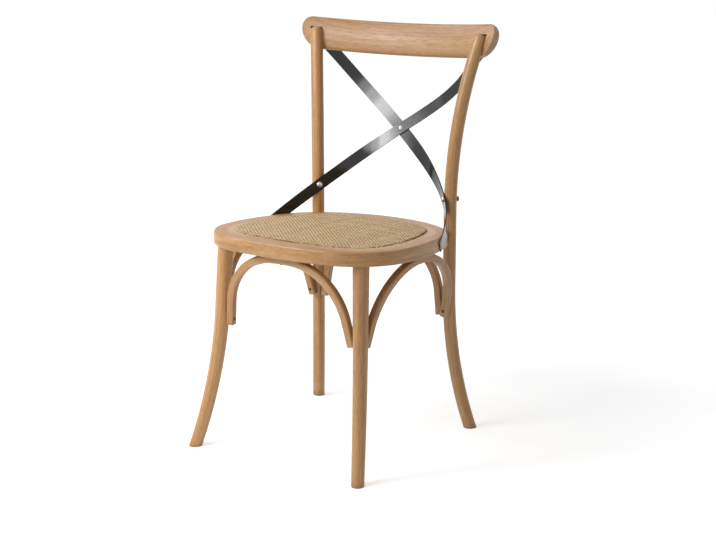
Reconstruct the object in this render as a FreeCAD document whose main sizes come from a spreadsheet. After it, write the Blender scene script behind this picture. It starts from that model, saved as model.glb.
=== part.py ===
import FreeCAD, Part
import math
import os
import Sketcher
from FreeCAD import Placement, Rotation, Vector

# A cross back chair: a steam-bent wooden frame with a woven panel seat and two crossed metal straps.
# The origin is on the floor under the middle of the chair, +Z is up and the front faces -Y.
# Left is -X and right is +X, as seen from the front. Lengths are millimetres, angles are degrees.

SIZES = (
    # Seat frame: a flat bent ring, set down a little towards the back.
    ("seat_height", 455.7, "top of the seat frame at its middle"),
    ("seat_middle", -18, "place of the seat frame's middle along Y"),
    ("seat_slope", 1.72, "fall of the seat towards the back"),
    ("seat_half_width", 232.5, "half of the greatest width"),
    ("seat_back_reach", 218.5, "middle to back edge"),
    ("seat_front_reach", 218.5, "middle to front edge"),
    ("seat_widest", -43.5, "where the seat is widest, from its middle"),
    ("seat_side_radius", 420, "outline radius at the sides"),
    ("seat_back_radius", 280, "outline radius at the back"),
    ("seat_back_corner", 140, "outline radius of the back corners"),
    ("seat_front_radius", 750, "outline radius at the front"),
    ("seat_front_corner", 135, "outline radius of the front corners"),
    ("rim_thickness", 29.5, "height of the seat frame"),
    ("rim_width", 43, "flat rim between outline and panel groove"),
    ("rim_top_round", 5, "rounding of the rim's upper outer edge"),
    ("rim_bottom_round", 3, "rounding of the rim's lower outer edge"),
    ("rebate_depth", 12, "depth of the rebate that takes the panel"),
    ("ledge_width", 13.5, "ledge that the panel rests on"),
    # Seat panel: a slightly domed board under a woven cover that wraps round its edge.
    ("groove_width", 1.5, "open groove round the panel"),
    ("cover_wall", 2.2, "thickness of the woven cover"),
    ("panel_crown", 5.5, "height of the panel's middle over the rim"),
    ("dome_radius", 4500, "radius of the panel's dome"),
    ("cover_edge_round", 2.5, "rounding of the cover's edge"),
    ("board_edge_round", 1.2, "rounding of the board's edge"),
    ("board_fit", 0.1, "gap between board and cover"),
    # Front legs: straight and splayed, swept outwards near the floor, tapered.
    ("leg_across", 171.8, "leg centre under the seat frame, along X"),
    ("leg_ahead", 175.3, "leg centre under the seat frame, towards the front"),
    ("leg_turn", 30, "direction of the splay, outwards from straight ahead"),
    ("leg_splay", 4.3, "lean of the straight stretch"),
    ("leg_bend_drop", 155.7, "where the outward sweep begins, below the top of the seat frame"),
    ("leg_bend_radius", 1050, "radius of the sweep"),
    ("leg_top_diameter", 34, "diameter at the seat frame"),
    ("leg_foot_diameter", 26.4, "diameter at the floor"),
    ("tenon_diameter", 20, "round tenon on the leg"),
    ("tenon_length", 20, "length of the tenon in the seat frame"),
    ("tenon_end_gap", 1, "gap over the tenon's end"),
    # Rear posts: one bent rod each, from the floor to the crest rail.
    ("post_across", 174, "straight stretch of the post, along X"),
    ("post_behind", 153, "straight stretch of the post, towards the back"),
    ("post_turn", 38, "direction of the bends, outwards from straight back"),
    ("post_diameter", 27.5, "diameter"),
    ("post_low_drop", 135.7, "where the lower bend ends, below the top of the seat frame"),
    ("post_low_radius", 980, "radius of the lower bend"),
    ("post_high_rise", 34.3, "where the upper bend begins, above the top of the seat frame"),
    ("post_high_radius", 1080, "radius of the upper bend"),
    ("post_end_rise", 17.5, "post's end above the centre of the crest rail"),
    ("post_top_round", 9, "rounding of the post's end"),
    # Crest rail: oval in section, bowed and leaning back, let onto the posts.
    ("crest_set", 3.33, "front face of the rail behind the posts' axes, where it is let onto them"),
    ("crest_rise", 383.8, "centre of the rail above the top of the seat frame"),
    ("crest_lean", 15, "lean of the rail towards the back"),
    ("crest_bow_radius", 850, "radius of the hollow front face"),
    ("crest_length", 494, "length of the rail"),
    ("crest_width", 72, "height of the rail's section"),
    ("crest_thickness", 24, "thickness of the rail's section"),
    ("crest_edge_radius", 9, "radius of the section's upper and lower edge"),
    ("crest_lower_corner", 50, "radius of the lower corners; the upper ones take the rest of the rail's height"),
    # Arches: bent braces between the legs, screwed to them and up into the seat frame.
    ("arch_width", 17, "width of the stick in the plane of the arch"),
    ("arch_thickness", 16, "thickness of the stick across that plane"),
    ("arch_edge_round", 4, "rounding of the stick's edges"),
    ("arch_bite", 1, "how far an end is hollowed to fit round its leg"),
    ("arch_planing", 1.5, "how far the top is planed flat for the seat frame"),
    ("front_end_drop", 191.7, "front arch's ends below the top of the seat frame"),
    ("front_end_setback", 3.9, "front arch's ends behind the leg centres"),
    ("front_tilt", 8.5, "lean of the front arch towards the front"),
    ("front_end_lean", 10, "lean of the front arch's ends"),
    ("front_corner_radius", 131, "radius of the front arch's corners"),
    ("front_top_radius", 401, "radius of the front arch's top"),
    ("side_end_drop", 193.7, "a side arch's ends below the top of the seat frame"),
    ("side_end_inset", 1.8, "side arch's ends inside the leg centres"),
    ("side_tilt", 11.9, "lean of a side arch outwards"),
    ("side_end_lean", 6.5, "lean of a side arch's ends"),
    ("side_corner_radius", 132, "radius of a side arch's corners"),
    ("side_top_radius", 154, "radius of a side arch's top"),
    ("rear_end_drop", 196.7, "rear arch's ends below the top of the seat frame"),
    ("rear_end_inset", 4.4, "rear arch's ends ahead of the post centres"),
    ("rear_tilt", 2.6, "lean of the rear arch towards the back"),
    ("rear_end_lean", 7.2, "lean of the rear arch's ends"),
    ("rear_corner_radius", 116, "radius of the rear arch's corners"),
    ("rear_top_radius", 331, "radius of the rear arch's top"),
    # Cross straps: flat bars from the seat frame's side over a post to the far end of the crest rail.
    ("strap_width", 25, "width of a strap"),
    ("strap_thickness", 2.5, "thickness of a strap"),
    ("strap_gap", 0.15, "gap between a strap and what it lies on"),
    ("strap_foot_place", 53.5, "strap's lower end, behind the seat's middle"),
    ("strap_foot_drop", 18.5, "strap's lower end, below the top of the seat frame"),
    ("strap_post_rise", 57.3, "where a strap crosses a post, above the top of the seat frame"),
    ("strap_post_turn", 48, "side of the post that the strap lies on, inwards from straight ahead"),
    ("cross_set", 1.3, "place where the straps cross, ahead of the rail's front face at its middle"),
    ("cross_rise", 187.3, "where the straps cross, above the top of the seat frame"),
    ("bow_across", 139.8, "where a strap bows back between crossing and rail, along X"),
    ("bow_set", 20.5, "the same place behind the rail's front face at its middle"),
    ("bow_drop", 88, "that place below the centre of the crest rail"),
    ("landing_across", 217, "where a strap comes to lie on the rail's back, along X"),
    ("landing_drop", 6.2, "that place below the rail's middle"),
    ("strap_top_across", 229.7, "strap's upper end on the rail, along X"),
    ("strap_top_rise", 3.3, "strap's upper end above the rail's middle"),
    # Fasteners.
    ("joint_gap", 0.15, "gap round a rod in its seat"),
    ("hole_gap", 0.2, "gap round a shank and round a sunk head"),
    ("screw_head", 8, "diameter of a wood screw's head"),
    ("screw_dome", 2.2, "height of a wood screw's head"),
    ("screw_shank", 4, "diameter of a wood screw's shank"),
    ("short_screw", 11.5, "length of the screws in the straps' ends"),
    ("long_screw", 30, "length of the screws in the joints"),
    ("board_screw", 24, "length of the screws in the seat board"),
    ("bolt_head", 13, "diameter of the strap bolts' and rivet's heads"),
    ("bolt_dome", 4, "height of those heads"),
    ("bolt_shank", 6, "diameter of those shanks"),
    ("nut_across", 11, "width of a nut across its corners"),
    ("nut_height", 5, "height of a nut"),
    ("bolt_tail", 1.5, "length of bolt that shows past its nut"),
    ("seat_bolt", 46, "length of the bolts that hold the seat frame to the posts"),
    ("sink", 1.2, "depth of the flat seat cut in a round rod for a head or nut"),
    ("rivet_tail", 2.5, "height of the rivet's closed end"),
    ("rivet_tail_diameter", 10, "diameter of that end"),
    ("arch_screw_place", 12, "screws above the ends of an arch"),
    ("strap_screw_place", 12, "screws inside the ends of a strap"),
    ("crest_screw_rise", 10, "screws through the rail into the posts, above the rail's centre"),
    ("board_screw_inset", 8.5, "board screws inside the panel groove"),
    ("board_screw_spread", 60, "front and back board screws off the middle"),
)

SPARE = 12  # material past a face that a later cut trims away
TOOL_REACH = 36  # how far a cutting tool runs past the piece that it cuts
OUTLINE_CLEAR = 1  # room between the rail's section and the outline that trims its ends
STRAP_SPANS = 16  # sections along a strap
FLAT = 0.01  # how near to a plane an edge counts as lying in it
HEAD_RIM = 0.6  # upright rim under a fastener's dome

doc = FreeCAD.newDocument("CrossBackChair")
sheet = doc.addObject("Spreadsheet::Sheet", "Sizes")
for row, (alias, value, meaning) in enumerate(SIZES, 1):
    sheet.set("A%d" % row, alias)
    sheet.set("B%d" % row, str(value))
    sheet.setAlias("B%d" % row, alias)
    sheet.set("C%d" % row, meaning)
doc.recompute()


def val(expression):
    return float(sheet.evalExpression(expression))


def size(alias):
    return val("Sizes." + alias)


# Heights that follow from the seat: what stands over it and what hangs under it moves with it.

CREST_HEIGHT = "(Sizes.seat_height + Sizes.crest_rise)"
POST_TOP = "(%s + Sizes.post_end_rise)" % CREST_HEIGHT
POST_HIGH = "(Sizes.seat_height + Sizes.post_high_rise)"
POST_LOW = "(Sizes.seat_height - Sizes.post_low_drop)"
LEG_BEND = "(Sizes.seat_height - Sizes.leg_bend_drop)"
FRONT_HEIGHT = "(Sizes.seat_height - Sizes.front_end_drop)"
SIDE_HEIGHT = "(Sizes.seat_height - Sizes.side_end_drop)"
REAR_HEIGHT = "(Sizes.seat_height - Sizes.rear_end_drop)"


# Small helpers for bodies, sketches and driven dimensions.

def origin_plane(body, role):
    for feature in body.Origin.OriginFeatures:
        if feature.Role == role:
            return feature
    raise ValueError(role)


def add_sketch(body, name, role):
    sketch = body.newObject("Sketcher::SketchObject", name)
    sketch.AttachmentSupport = [(origin_plane(body, role), "")]
    sketch.MapMode = "FlatFace"
    return sketch


def drive(sketch, name, expression, kind, *where):
    value = float(sketch.evalExpression(expression))
    if kind == "Angle":
        value = math.radians(value)
    index = sketch.addConstraint(Sketcher.Constraint(kind, *where, value))
    sketch.renameConstraint(index, name)
    sketch.setExpression("Constraints." + name, expression)


def fix(sketch, kind, *where):
    sketch.addConstraint(Sketcher.Constraint(kind, *where))


def line(sketch, start, end):
    return sketch.addGeometry(Part.LineSegment(Vector(*start, 0), Vector(*end, 0)))


def arc(sketch, centre, radius, start, end):
    circle = Part.Circle(Vector(*centre, 0), Vector(0, 0, 1), radius)
    return sketch.addGeometry(Part.ArcOfCircle(circle, start, end))


def add_circle(sketch, expression):
    index = sketch.addGeometry(Part.Circle(Vector(0, 0, 0), Vector(0, 0, 1), val(expression)))
    fix(sketch, "Coincident", index, 3, -1, 1)
    drive(sketch, "radius", expression, "Radius", index)


def close_chain(sketch, indices, kind):
    for here, after in zip(indices, indices[1:] + indices[:1]):
        fix(sketch, kind, here, 2, after, 1)


def extrude(body, kind, sketch, name, expression, reverse=False):
    feature = body.newObject(kind, name)
    feature.Profile = (sketch, [""])
    feature.Type = "Length"
    feature.setExpression("Length", expression)
    feature.Reversed = reverse
    doc.recompute()
    return feature


def through(body, sketch, name, reverse=False):
    feature = body.newObject("PartDesign::Pocket", name)
    feature.Profile = (sketch, [""])
    feature.Type = "ThroughAll"
    feature.Reversed = reverse
    doc.recompute()
    return feature


def fillet(body, base, name, edges, expression):
    feature = body.newObject("PartDesign::Fillet", name)
    feature.Base = (base, edges)
    feature.setExpression("Radius", expression)
    doc.recompute()
    return feature


def edges_where(feature, test):
    names = []
    for index, edge in enumerate(feature.Shape.Edges, 1):
        if test(edge.valueAt((edge.FirstParameter + edge.LastParameter) / 2)):
            names.append("Edge%d" % index)
    return names


def cut(name, base, tool):
    feature = doc.addObject("Part::Cut", name)
    feature.Base = base
    feature.Tool = tool
    doc.recompute()
    return feature


def fuse(name, base, tool):
    feature = doc.addObject("Part::Fuse", name)
    feature.Base = base
    feature.Tool = tool
    doc.recompute()
    return feature


def group(name, members):
    feature = doc.addObject("Part::Compound", name)
    feature.Links = members
    doc.recompute()
    return feature


def mirror(name, source):
    feature = doc.addObject("Part::Mirroring", name)
    feature.Source = source
    feature.Base = Vector(0, 0, 0)
    feature.Normal = Vector(1, 0, 0)
    doc.recompute()
    return feature


def both_sides(name, source):
    return group(name, [source, mirror(name + "_mirrored", source)])


def unit(vector):
    return Vector(vector).normalize()


def facing(point, outward):
    return Placement(point, Rotation(Vector(0, 0, 1), outward))


# Seat frame and panel share one outline of eight tangent arcs, drawn at a given inset.

SEAT_PLACE = Placement(
    Vector(0, size("seat_middle"), size("seat_height")),
    Rotation(Vector(1, 0, 0), -size("seat_slope")),
)


def meeting_point(first, first_reach, second, second_reach):
    """The right-hand point at the given distances from two centres."""
    apart = math.dist(first, second)
    along = (first_reach ** 2 - second_reach ** 2 + apart ** 2) / (2 * apart)
    aside = math.sqrt(first_reach ** 2 - along ** 2)
    dx = (second[0] - first[0]) / apart
    dy = (second[1] - first[1]) / apart
    foot = (first[0] + along * dx, first[1] + along * dy)
    return max((foot[0] - aside * dy, foot[1] + aside * dx), (foot[0] + aside * dy, foot[1] - aside * dx))


def direction(start, end):
    return math.atan2(end[1] - start[1], end[0] - start[0])


def seat_outline(body, name, inset):
    sketch = add_sketch(body, name, "XY_Plane")
    gap = val(inset)
    side = (size("seat_half_width") - size("seat_side_radius"), size("seat_widest"))
    back = (0, size("seat_back_reach") - size("seat_back_radius"))
    front = (0, size("seat_front_radius") - size("seat_front_reach"))
    side_radius = size("seat_side_radius")
    back_corner = size("seat_back_corner")
    front_corner = size("seat_front_corner")
    rear = meeting_point(side, side_radius - back_corner, back, size("seat_back_radius") - back_corner)
    fore = meeting_point(side, side_radius - front_corner, front, size("seat_front_radius") - front_corner)
    turns = [direction(front, fore), direction(side, fore), direction(side, rear), direction(back, rear)]
    right_arcs = (
        (fore, front_corner, turns[0], turns[1]),
        (side, side_radius, turns[1], turns[2]),
        (rear, back_corner, turns[2], turns[3]),
    )
    arcs = list(right_arcs)
    arcs.append((back, size("seat_back_radius"), turns[3], math.pi - turns[3]))
    for centre, radius, start, end in reversed(right_arcs):
        arcs.append(((-centre[0], centre[1]), radius, math.pi - end, math.pi - start))
    arcs.append((front, size("seat_front_radius"), -math.pi - turns[0], turns[0]))
    chain = [arc(sketch, centre, radius - gap, start, end) for centre, radius, start, end in arcs]
    close_chain(sketch, chain, "Tangent")
    names = ("seat_front_corner", "seat_side_radius", "seat_back_corner", "seat_back_radius",
             "seat_back_corner", "seat_side_radius", "seat_front_corner", "seat_front_radius")
    for index, alias in enumerate(names):
        drive(sketch, "radius_%d" % index, "Sizes.%s - (%s)" % (alias, inset), "Radius", chain[index])
    side_x = "Sizes.seat_half_width - Sizes.seat_side_radius"
    drive(sketch, "side_x", side_x, "DistanceX", -1, 1, chain[1], 3)
    drive(sketch, "side_y", "Sizes.seat_widest", "DistanceY", -1, 1, chain[1], 3)
    fix(sketch, "Symmetric", chain[1], 3, chain[5], 3, -2)
    fix(sketch, "PointOnObject", chain[3], 3, -2)
    fix(sketch, "PointOnObject", chain[7], 3, -2)
    back_y = "Sizes.seat_back_reach - Sizes.seat_back_radius"
    front_y = "Sizes.seat_front_radius - Sizes.seat_front_reach"
    drive(sketch, "back_y", back_y, "DistanceY", -1, 1, chain[3], 3)
    drive(sketch, "front_y", front_y, "DistanceY", -1, 1, chain[7], 3)
    doc.recompute()
    return sketch


def seat_edge(place):
    """Point of the outline at the right side and its outward direction, in the seat's own frame."""
    centre_x = size("seat_half_width") - size("seat_side_radius")
    rise = place - size("seat_widest")
    reach = math.sqrt(size("seat_side_radius") ** 2 - rise ** 2)
    return Vector(centre_x + reach, place, 0), unit(Vector(reach, rise, 0))


def make_rim():
    """Bent ring with a rebate for the panel and a ledge under it."""
    body = doc.addObject("PartDesign::Body", "SeatRim")
    outline = seat_outline(body, "RimOutline", "0")
    ring = extrude(body, "PartDesign::Pad", outline, "RimPad", "Sizes.rim_thickness", reverse=True)
    upper = edges_where(ring, lambda at: abs(at.z) < FLAT)
    ring = fillet(body, ring, "RimTopRound", upper, "Sizes.rim_top_round")
    lower = edges_where(ring, lambda at: abs(at.z + size("rim_thickness")) < FLAT)
    fillet(body, ring, "RimBottomRound", lower, "Sizes.rim_bottom_round")
    rebate = seat_outline(body, "RebateOutline", "Sizes.rim_width")
    extrude(body, "PartDesign::Pocket", rebate, "Rebate", "Sizes.rebate_depth")
    opening = seat_outline(body, "OpeningOutline", "Sizes.rim_width + Sizes.ledge_width")
    through(body, opening, "Opening")
    body.Placement = SEAT_PLACE
    return body


def make_domed_plate(name, inset, crown, edge_round):
    """Plate on the ledge, cut on top by a shallow dome."""
    body = doc.addObject("PartDesign::Body", name)
    outline = seat_outline(body, name + "Outline", inset)
    outline.setExpression("AttachmentOffset.Base.z", "-Sizes.rebate_depth")
    doc.recompute()
    height = "Sizes.rebate_depth + (%s) + %d" % (crown, SPARE)
    extrude(body, "PartDesign::Pad", outline, name + "Pad", height)
    reach = val("Sizes.seat_half_width + Sizes.seat_back_reach")
    radius = size("dome_radius")
    middle = val(crown)
    turn = math.asin(reach / radius)
    edge_height = middle - radius * (1 - math.cos(turn))
    roof = middle + TOOL_REACH
    low = -size("rebate_depth")
    above = add_sketch(body, name + "Above", "XZ_Plane")
    dome = arc(above, (0, middle - radius), radius, math.pi / 2 - turn, math.pi / 2)
    axis = line(above, (0, middle), (0, roof))
    top = line(above, (0, roof), (reach, roof))
    side = line(above, (reach, roof), (reach, edge_height))
    close_chain(above, [dome, axis, top, side], "Coincident")
    fix(above, "PointOnObject", dome, 3, -2)
    fix(above, "PointOnObject", dome, 2, -2)
    fix(above, "PointOnObject", axis, 2, -2)
    fix(above, "Horizontal", top)
    fix(above, "Vertical", side)
    drive(above, "radius", "Sizes.dome_radius", "Radius", dome)
    drive(above, "crown", crown, "DistanceY", -1, 1, dome, 2)
    drive(above, "reach", "Sizes.seat_half_width + Sizes.seat_back_reach", "DistanceX", -1, 1, side, 1)
    drive(above, "roof", "(%s) + %d" % (crown, TOOL_REACH), "DistanceY", -1, 1, axis, 2)
    doc.recompute()
    groove = body.newObject("PartDesign::Groove", name + "Dome")
    groove.Profile = (above, [""])
    groove.ReferenceAxis = (above, ["V_Axis"])
    groove.Angle = 360
    doc.recompute()
    rim = edges_where(groove, lambda at: at.z > low + FLAT)
    upper = [edge for edge in rim if is_level(groove.Shape.getElement(edge))]
    fillet(body, groove, name + "Round", upper, edge_round)
    body.Placement = SEAT_PLACE
    return body


def is_level(edge):
    """True for an edge along the outline, false for an upright one and for a seam of the dome."""
    start = edge.valueAt(edge.FirstParameter)
    end = edge.valueAt(edge.LastParameter)
    run = math.hypot(start.x - end.x, start.y - end.y)
    return abs(start.z - end.z) < run / 2


# Rods: a path in the upright plane through the rod's axis, with circles swept along it.

def rod_body(name, path, path_edges, first, second=None):
    """Sweep of the first circle along the path, tapered to the second one where there is one."""
    body = path.getParentGeoFeatureGroup()
    pipe = body.newObject("PartDesign::AdditivePipe", name)
    pipe.Profile = (first, [""])
    pipe.Spine = (path, path_edges)
    if second:
        pipe.Transformation = "Multisection"
        pipe.Sections = [(second, [""])]
    doc.recompute()
    return pipe


def end_circle(body, name, across, height, lean, radius):
    """Circle square to the path at one of its ends; lean is the path's angle off the vertical."""
    sketch = add_sketch(body, name, "XY_Plane")
    turned = Rotation(Vector(0, 1, 0), val(lean))
    sketch.AttachmentOffset = Placement(Vector(val(across), 0, val(height)), turned)
    sketch.setExpression("AttachmentOffset.Base.x", across)
    sketch.setExpression("AttachmentOffset.Base.z", height)
    sketch.setExpression("AttachmentOffset.Rotation.Angle", lean)
    add_circle(sketch, radius)
    doc.recompute()
    return sketch


def trim_at_floor(body, name, across):
    """Cut a rod's foot flat at the floor."""
    sketch = add_sketch(body, name + "Outline", "XY_Plane")
    index = sketch.addGeometry(Part.Circle(Vector(val(across), 0, 0), Vector(0, 0, 1), TOOL_REACH))
    fix(sketch, "PointOnObject", index, 3, -1)
    drive(sketch, "across", across, "DistanceX", -1, 1, index, 3)
    drive(sketch, "radius", "%d + Sizes.leg_top_diameter" % SPARE, "Radius", index)
    extrude(body, "PartDesign::Pocket", sketch, name, "%d" % TOOL_REACH)


def under_rim(place):
    """Height of the seat frame's underside at a place along Y."""
    fall = "((%s) - Sizes.seat_middle) * tan(Sizes.seat_slope)" % place
    return "(Sizes.seat_height - %s - Sizes.rim_thickness / cos(Sizes.seat_slope))" % fall


LEG_TOP = under_rim("-Sizes.leg_ahead")
LEG_BEND_REACH = "((%s - %s) * tan(Sizes.leg_splay))" % (LEG_TOP, LEG_BEND)
LEG_PLACE = Placement(
    Vector(size("leg_across"), -size("leg_ahead"), 0),
    Rotation(Vector(0, 0, 1), size("leg_turn") - 90),
)
POST_PLACE = Placement(
    Vector(size("post_across"), size("post_behind"), 0),
    Rotation(Vector(0, 0, 1), 90 - size("post_turn")),
)


def leg_reach(height):
    """Outward reach of the leg's axis at a height within the sweep."""
    drop = "(Sizes.leg_bend_radius * sin(Sizes.leg_splay) + %s - (%s))" % (LEG_BEND, height)
    level = ("(Sizes.leg_bend_radius * cos(Sizes.leg_splay)"
             " - sqrt(Sizes.leg_bend_radius ^ 2 - %s ^ 2))" % drop)
    return "(%s + %s)" % (LEG_BEND_REACH, level)


def leg_radius(height):
    taper = "(Sizes.leg_top_diameter - Sizes.leg_foot_diameter) / 2"
    return "(Sizes.leg_foot_diameter / 2 + %s * (%s) / %s)" % (taper, height, LEG_TOP)


def post_low_reach(height):
    """Outward reach of the post's axis at a height below the straight stretch."""
    return ("(Sizes.post_low_radius - sqrt(Sizes.post_low_radius ^ 2"
            " - (%s - (%s)) ^ 2))" % (POST_LOW, height))


def post_high_reach(height):
    """Outward reach of the post's axis at a height above the straight stretch."""
    return ("(Sizes.post_high_radius - sqrt(Sizes.post_high_radius ^ 2"
            " - ((%s) - %s) ^ 2))" % (height, POST_HIGH))


def make_leg_rod(name, extra):
    """Tapered leg without its tenon, its upper end left long."""
    body = doc.addObject("PartDesign::Body", name)
    path = add_sketch(body, name + "Path", "XZ_Plane")
    lean = math.radians(size("leg_splay"))
    radius = size("leg_bend_radius")
    bend = (val(LEG_BEND_REACH), val(LEG_BEND))
    centre = (bend[0] + radius * math.cos(lean), bend[1] + radius * math.sin(lean))
    top_height = "%s + %d" % (LEG_TOP, TOOL_REACH)
    top_reach = "-%d * tan(Sizes.leg_splay)" % TOOL_REACH
    foot_lean = "asin((%s + %d) / Sizes.leg_bend_radius + sin(Sizes.leg_splay))" % (LEG_BEND, SPARE)
    straight = line(path, (val(top_reach), val(top_height)), bend)
    sweep = arc(path, centre, radius, math.pi + lean, math.pi + math.radians(val(foot_lean)))
    fix(path, "Tangent", straight, 2, sweep, 1)
    drive(path, "top_reach", top_reach, "DistanceX", -1, 1, straight, 1)
    drive(path, "top_height", top_height, "DistanceY", -1, 1, straight, 1)
    drive(path, "bend_reach", LEG_BEND_REACH, "DistanceX", -1, 1, straight, 2)
    drive(path, "bend_height", LEG_BEND, "DistanceY", -1, 1, straight, 2)
    drive(path, "radius", "Sizes.leg_bend_radius", "Radius", sweep)
    drive(path, "foot_height", "-%d" % SPARE, "DistanceY", -1, 1, sweep, 2)
    doc.recompute()
    top = end_circle(body, name + "Top", top_reach, top_height, "-Sizes.leg_splay",
                     "Sizes.leg_top_diameter / 2 + %s" % extra)
    swept = "Sizes.leg_bend_radius * (cos(Sizes.leg_splay) - cos(%s))" % foot_lean
    foot_reach = "%s + %s" % (LEG_BEND_REACH, swept)
    foot = end_circle(body, name + "Foot", foot_reach, "-%d" % SPARE, "-(%s)" % foot_lean,
                      "Sizes.leg_foot_diameter / 2 + %s" % extra)
    rod_body(name + "Rod", path, ["Edge1", "Edge2"], top, foot)
    trim_at_floor(body, name + "Floor", foot_reach)
    body.Placement = LEG_PLACE
    return body


def make_post_rod(name, extra, finished=True):
    """Bent post; a tool rod is left long at the top and square."""
    body = doc.addObject("PartDesign::Body", name)
    path = add_sketch(body, name + "Path", "XZ_Plane")
    top_height = POST_TOP if finished else "%s + %d" % (POST_TOP, TOOL_REACH)
    foot_lean = "asin((%s + %d) / Sizes.post_low_radius)" % (POST_LOW, SPARE)
    foot_reach = post_low_reach("-%d" % SPARE)
    low = size("post_low_radius")
    high = size("post_high_radius")
    low_height = val(POST_LOW)
    high_height = val(POST_HIGH)
    foot_turn = math.radians(val(foot_lean))
    top_turn = math.asin((val(top_height) - high_height) / high)
    upper = arc(path, (high, high_height), high, math.pi - top_turn, math.pi)
    straight = line(path, (0, high_height), (0, low_height))
    lower = arc(path, (low, low_height), low, math.pi, math.pi + foot_turn)
    fix(path, "Tangent", upper, 2, straight, 1)
    fix(path, "Tangent", straight, 2, lower, 1)
    fix(path, "PointOnObject", straight, 1, -2)
    fix(path, "PointOnObject", straight, 2, -2)
    drive(path, "high_height", POST_HIGH, "DistanceY", -1, 1, straight, 1)
    drive(path, "low_height", POST_LOW, "DistanceY", -1, 1, straight, 2)
    drive(path, "high_radius", "Sizes.post_high_radius", "Radius", upper)
    drive(path, "low_radius", "Sizes.post_low_radius", "Radius", lower)
    drive(path, "top_height", top_height, "DistanceY", -1, 1, upper, 1)
    drive(path, "foot_height", "-%d" % SPARE, "DistanceY", -1, 1, lower, 2)
    doc.recompute()
    foot = end_circle(body, name + "Foot", foot_reach, "-%d" % SPARE, "-(%s)" % foot_lean,
                      "Sizes.post_diameter / 2 + %s" % extra)
    rod = rod_body(name + "Rod", path, ["Edge1", "Edge2", "Edge3"], foot)
    if finished:
        end = edges_where(rod, lambda at: at.z > val(POST_TOP) - size("post_diameter"))
        rims = [edge for edge in end if rod.Shape.getElement(edge).isClosed()]
        fillet(body, rod, name + "TopRound", rims, "Sizes.post_top_round")
    trim_at_floor(body, name + "Floor", foot_reach)
    body.Placement = POST_PLACE
    return body


def post_point(height):
    """Point of the right post's axis at a height above the lower bend."""
    reach = val(post_high_reach("%.9f" % height)) if height > val(POST_HIGH) else 0
    return POST_PLACE.multVec(Vector(reach, 0, height))


# Crest rail: its ends stay on the posts, whatever its bow.

POST_AT_CREST = post_point(val(CREST_HEIGHT))
CREST_SAG = size("crest_bow_radius") - math.sqrt(size("crest_bow_radius") ** 2 - POST_AT_CREST.x ** 2)
CREST_DEPTH = POST_AT_CREST.y + size("crest_set") + CREST_SAG * math.cos(math.radians(size("crest_lean")))
CREST_PLACE = Placement(
    Vector(0, CREST_DEPTH, val(CREST_HEIGHT)),
    Rotation(Vector(1, 0, 0), -size("crest_lean")),
).multiply(Placement(Vector(0, -size("crest_bow_radius"), 0), Rotation()))


def rail_outline(sketch, reach, shoulder, lower_corner):
    """The rail seen from the front: level edges, joined at each end by a lower and an upper corner."""
    upper_corner = "2 * (%s) - %s" % (shoulder, lower_corner)
    wide, tall, low, high = (val(length) for length in (reach, shoulder, lower_corner, upper_corner))
    level = low - tall
    quarter = math.pi / 2
    floor = line(sketch, (low - wide, -tall), (wide - low, -tall))
    low_right = arc(sketch, (wide - low, level), low, -quarter, 0)
    high_right = arc(sketch, (wide - high, level), high, 0, quarter)
    roof = line(sketch, (wide - high, tall), (high - wide, tall))
    high_left = arc(sketch, (high - wide, level), high, quarter, 2 * quarter)
    low_left = arc(sketch, (low - wide, level), low, 2 * quarter, 3 * quarter)
    close_chain(sketch, [floor, low_right, high_right, roof, high_left, low_left], "Tangent")
    fix(sketch, "Horizontal", floor)
    fix(sketch, "Horizontal", roof)
    centre = "%s - %s" % (reach, lower_corner)
    drive(sketch, "right", centre, "DistanceX", -1, 1, low_right, 3)
    drive(sketch, "left", centre, "DistanceX", low_left, 3, -1, 1)
    drive(sketch, "bottom", shoulder, "DistanceY", floor, 1, -1, 1)
    drive(sketch, "top", shoulder, "DistanceY", -1, 1, roof, 1)
    drive(sketch, "low_right", lower_corner, "Radius", low_right)
    drive(sketch, "low_left", lower_corner, "Radius", low_left)
    drive(sketch, "high_right", upper_corner, "Radius", high_right)
    drive(sketch, "high_left", upper_corner, "Radius", high_left)


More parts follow.
